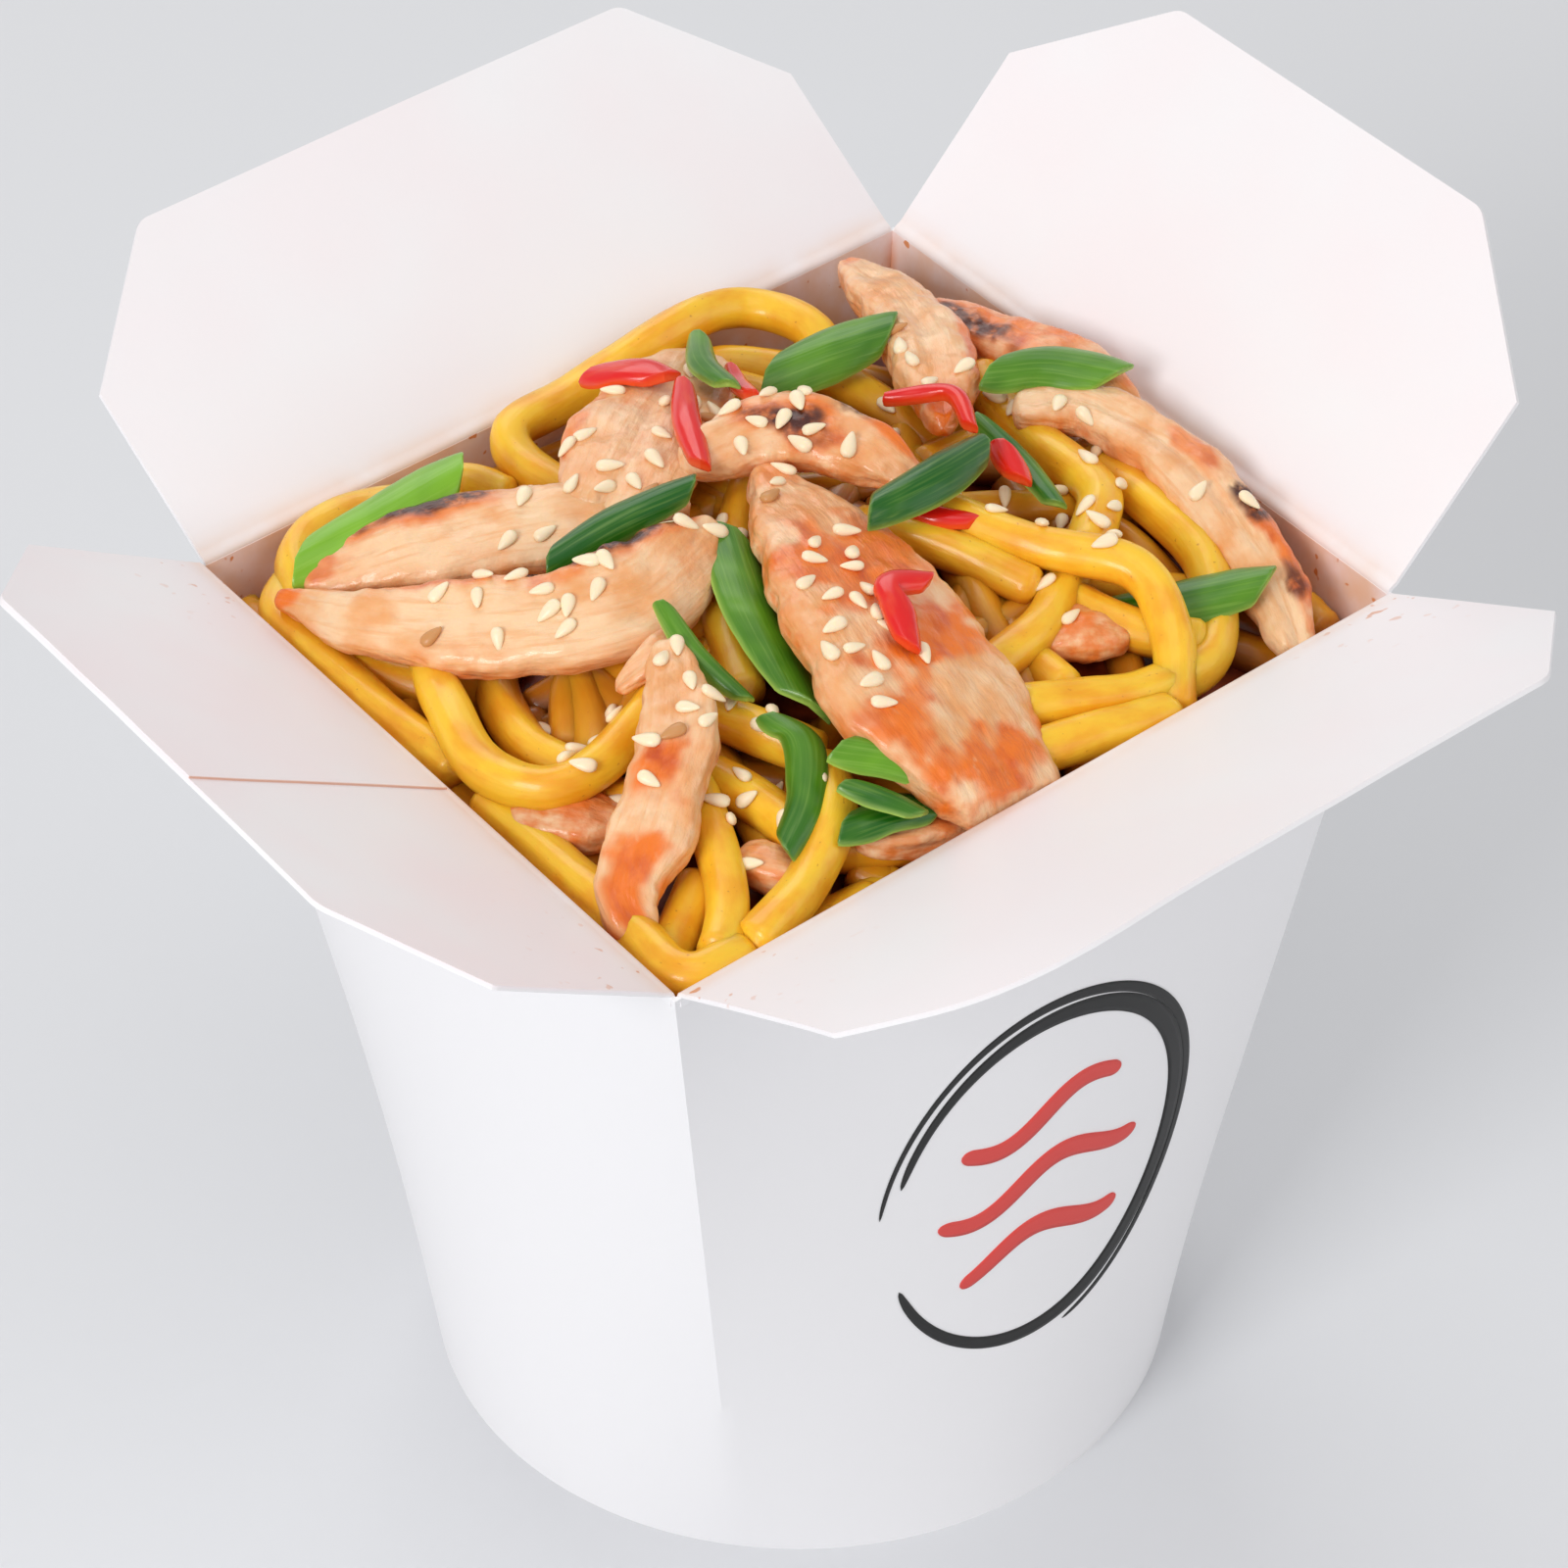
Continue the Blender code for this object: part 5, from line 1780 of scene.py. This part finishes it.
TOPPINGS = [
    onion("left_broad", [(-42, 33, 3.5), (-31, 31, 6), (-21, 31, 7)], 7.5, 1.4, 15, 0.75),
    onion("centre_dark", [(-26, 9, 10), (-17, 8, 12), (-8, 6.5, 13)], 4.5, 1.4, 20, 0.05),
    onion("small", [(13, 33, 9), (9, 27, 10.5), (7, 20, 12)], 3.4, 0.8, 0, 0.3),
    onion("back_broad", [(16, 25, 6.5), (23, 23, 7.5), (31, 21, 8)], 7.5, 1.5, 15, 0.4),
    onion("back_right", [(34, 8, 8.5), (40, 5, 8), (45, -1, 7.5)], 6.5, 1.2, 15, 0.5),
    onion("narrow", [(29, 4, 6.5), (28, -5, 6), (26, -13, 5.5)], 3.2, 0.8, 0, 0.2),
    onion("centre_right", [(4, -8, 12.5), (13, -8, 12.5), (23, -5, 10.5)], 5.5, 1.4, 20, 0.0),
    onion("centre_upright", [(-7, 1, 9.5), (-12, -10, 8), (-16, -23, 5.5)], 7.5, 1.6, -25, 0.3),
    onion("thin_upper", [(-22, -6, 11.5), (-23, -13, 9.5), (-22, -20, 7)], 2.8, 0.8, 0, 0.35),
    onion("thin_lower", [(-21, -23, 6.5), (-21, -28, 6), (-25, -33, 4), (-30, -36, 2)], 4.5, 1.0, 0, 0.3),
    onion("front_light", [(-20, -33, 8.5), (-15, -37, 7), (-9, -42, 3.5)], 5.5, 1.3, 15, 0.5),
    onion("front_dark", [(-24, -38, 3), (-18, -39.5, 3), (-13, -41, 1.5)], 5.0, 1.0, 10, 0.1),
    onion("front_tip", [(-22, -36, 6), (-19, -40, 5), (-17, -42.5, 3.6)], 3.0, 0.6, 0, 0.2),
    onion("right", [(19, -25, 1), (27, -30, 2), (37, -35, 3)], 6.5, 1.3, 15, 0.35),
    chilli("wedge", [(0, 35.5, 8), (2, 31, 10), (3.5, 27, 10.5)], 4.8, 0.6),
    chilli("long", [(4, 24, 11.5), (-1, 17, 12.5), (-5, 9.5, 12.5)], 3.2, 0.6),
    chilli("small", [(12, 26, 8.5), (10, 22, 9.5), (8, 17, 11.5)], 2.2, 0.4),
    chilli("arc", [(21, 10, 9), (26, 5, 10.5), (24, -1, 10)], 2.2, 0.5),
    chilli("lump", [(26, -4, 8.5), (24, -9, 7.5)], 3.4, 0.8),
    chilli("low", [(11, -5, 8.5), (13, -9, 8), (16, -12, 7.5)], 2.8, 0.5),
    chilli("bent", [(1, -22, 12.5), (-3, -21, 13.5), (-5, -24, 13), (-7, -28, 11.5)], 3.6, 0.5, roll=-10),
]


@dataclass
class Sesame:
    """Sesame seeds, scattered in patches (x, y, spread, count) and dropped on what lies below.

    Seeds keep their spacing and a margin from the rim, stay off steep skin, and a share is toasted.
    """

    walls: Walls
    patches: tuple[tuple[float, float, float, int], ...] = (
        (-14, 8, 9, 20), (-8, -22, 8, 16), (4, 12, 8, 10), (22, -10, 12, 14), (-34, 10, 10, 9),
        (-30, -12, 11, 9), (30, 8, 12, 10), (-26, -30, 10, 6), (-20, 22, 12, 7), (12, 30, 10, 5),
        (-9, 5, 6, 22), (-5, -13, 6, 20), (8, 9, 8, 16), (-26, 9, 12, 30), (-32, -12, 16, 22),
        (-20, -30, 14, 18), (24, -18, 16, 18), (26, 16, 12, 14), (-4, 24, 14, 12), (36, -10, 12, 8),
    )
    length: float = 2.9
    width: float = 1.7
    depth: float = 1.1
    rings: int = 12
    sides: int = 10
    spacing: float = 2.0
    margin: float = 4.0
    steepest: float = 0.35
    drop: float = 30.0
    lift: float = 0.22
    toasted: float = 0.06
    toasted_tone: float = 0.85
    palest_tone: float = 0.12

    def form(self) -> np.ndarray:
        """A tear drop: half width is the root of sin(pi s^0.8), times 1.12 - 0.5 s, s along the seed.

        Returns:
            Places in mm, as rings by sides by 3.
        """
        share = np.linspace(0.02, 0.98, self.rings)
        turn = np.linspace(0, math.tau, self.sides, endpoint=False)
        size = np.sqrt(np.sin(math.pi * share ** 0.8)) * (1.12 - 0.5 * share)
        x = (share - 0.5) * self.length
        y = size[:, None] * np.cos(turn) * self.width / 2
        z = size[:, None] * np.sin(turn) * self.depth / 2
        return np.stack([x[:, None] * np.ones(self.sides), y, z], -1)

    def fits(self, point: Vector, normal: Vector, placed: list[Vector]) -> bool:
        """Tell whether a seed may lie at a place in metres.

        Args:
            point: where it would lie.
            normal: the skin's direction there.
            placed: where the seeds before it lie.

        Returns:
            True if the place is level enough, off the rim and not crowded.
        """
        near_x = abs(point.x) > (self.walls.half_x - self.margin) * MM
        near_y = abs(point.y) > (self.walls.half_y - self.margin) * MM
        crowded = any((point - other).length < self.spacing * MM for other in placed)
        return not (near_x or near_y or crowded or normal.z < self.steepest)

    def build(self, carriers: list[bpy.types.Object]) -> bpy.types.Object:
        """Drop the seeds and lay each on its carrier's skin.

        Args:
            carriers: chicken and noodle pieces that seeds may lie on.

        Returns:
            All the seeds as one piece.
        """
        graph = bpy.context.evaluated_depsgraph_get()
        trees = [BVHTree.FromObject(item, graph) for item in carriers]
        draw = random.Random(21)
        form = self.form()
        placed: list[Vector] = []
        shell = Shell()
        for x, y, spread, count in self.patches:
            for _ in range(count):
                across, back = draw.gauss(x, spread / 2), draw.gauss(y, spread / 2)
                start = Vector((across, back, self.walls.height + self.drop)) * MM
                heading = draw.uniform(0, math.tau)
                hits = [tree.ray_cast(start, Vector((0, 0, -1))) for tree in trees]
                hits = [hit for hit in hits if hit[0] is not None]
                if not hits:
                    continue
                point, normal, _, _ = min(hits, key=lambda hit: hit[3])
                if not self.fits(point, normal, placed):
                    continue
                placed.append(point)
                number = len(placed)
                stand = normal.to_track_quat("Z", "X").to_matrix() @ Matrix.Rotation(heading, 3, "Z")
                centre = np.array(point) / MM + np.array(normal) * self.depth * self.lift
                size = 0.9 + 0.2 * (number % 5) / 4
                grid = form * size @ np.array(stand).T + centre
                brown = number * GOLDEN_SHARE % 1 < self.toasted
                tone = self.toasted_tone if brown else self.palest_tone * (number % 4) / 3
                shell.add(grid, Cap.POLE, tone=np.full(grid.shape[:2], tone))
        return settle(shell.build("sesame_seeds", HULL), "box", "noodle")


@dataclass(frozen=True)
class Lamp:
    """A square soft light: its place and width in metres, and its power in watts."""

    name: str
    place: tuple[float, float, float]
    size: float
    power: float

    def hang(self, aim: Vector) -> None:
        """Add the lamp to the scene.

        Args:
            aim: the place in metres that it points at.
        """
        data = bpy.data.lights.new(self.name, "AREA")
        data.size = self.size
        data.energy = self.power
        made = bpy.data.objects.new(self.name, data)
        made.location = self.place
        made.rotation_euler = (aim - Vector(self.place)).to_track_quat("-Z", "Y").to_euler()
        bpy.context.scene.collection.objects.link(made)


@dataclass
class Studio:
    """Pale floor, soft lights, and the camera at the photograph's angle.

    The camera looks from azimuth and elevation, at a distance in mm from the target height on the
    box's axis, and is then moved aside and above and rolled. Angles are in degrees.
    """

    azimuth: float = -37.96
    elevation: float = 39.38
    distance: float = 635.0
    aside: float = -1.47
    above: float = 12.88
    roll: float = -0.75
    target: float = 60.0
    focal_pixels: float = 5747.7
    image: float = 1600.0
    sensor: float = 36.0
    nearest: float = 0.01
    floor_reach: float = 3.0
    ambient: float = 0.5
    lamps: tuple[Lamp, ...] = (
        Lamp("key", (-1.05, -0.3, 0.75), 0.5, 8.0),
        Lamp("fill", (0.7, -0.9, 0.6), 0.9, 2.6),
        Lamp("back", (0.35, 0.8, 0.85), 0.7, 2.8),
        Lamp("top", (-0.1, -0.1, 1.2), 0.6, 1.2),
    )

    def camera(self) -> None:
        """Look back along the fitted direction, with the focal length turned from pixels to mm."""
        turn, lift, roll = (math.radians(angle) for angle in (self.azimuth, self.elevation, self.roll))
        back = Vector((math.sin(turn) * math.cos(lift), -math.cos(turn) * math.cos(lift), math.sin(lift)))
        right = Vector((math.cos(turn), math.sin(turn), 0))
        up = back.cross(right)
        across = math.cos(roll) * right + math.sin(roll) * up
        over = math.cos(roll) * up - math.sin(roll) * right
        place = back * self.distance + across * self.aside + over * self.above
        place = (place + Vector((0, 0, self.target))) * MM
        data = bpy.data.cameras.new("camera")
        data.sensor_width = self.sensor
        data.lens = self.focal_pixels / self.image * self.sensor
        data.clip_start = self.nearest
        made = bpy.data.objects.new("camera", data)
        made.matrix_world = Matrix.Translation(place) @ Matrix((across, over, back)).transposed().to_4x4()
        bpy.context.scene.collection.objects.link(made)
        bpy.context.scene.camera = made

    def floor(self) -> None:
        """Lay a square floor under the box, as part of the stage."""
        mesh = bpy.data.meshes.new("floor")
        reach = self.floor_reach
        corners = [(-reach, -reach, 0), (reach, -reach, 0), (reach, reach, 0), (-reach, reach, 0)]
        mesh.from_pydata(corners, [], [(0, 1, 2, 3)])
        mesh.materials.append(FLOOR.material())
        floor = bpy.data.objects.new("floor", mesh)
        bpy.context.scene.collection.objects.link(floor)

    def build(self) -> None:
        """Make the floor, the lights, the world and the camera."""
        self.floor()
        for lamp in self.lamps:
            lamp.hang(Vector((0, 0, self.target * MM)))
        world = bpy.data.worlds.new("studio")
        world.use_nodes = True
        background = world.node_tree.nodes["Background"]
        background.inputs["Color"].default_value = linear("#ffffff")
        background.inputs["Strength"].default_value = self.ambient
        bpy.context.scene.world = world
        bpy.context.scene.view_settings.view_transform = "Standard"
        self.camera()


def main() -> None:
    """Build the box from its walls outwards, then its food, then the studio."""
    logging.basicConfig(level=logging.INFO)
    walls = Walls()
    Carton(walls).build()
    for flap in flaps(walls):
        flap.build()
    FrontPrint(walls).build()
    carriers = Noodles(Heap(walls)).build()
    for index, piece in enumerate(CHICKEN):
        piece.seed = index + 1
        carriers.append(piece.build(walls))
    for index, strip in enumerate(TOPPINGS):
        strip.seed = index + 1
        strip.build(walls)
    Sesame(walls).build(carriers)
    Studio().build()


if __name__ == "__main__":
    main()
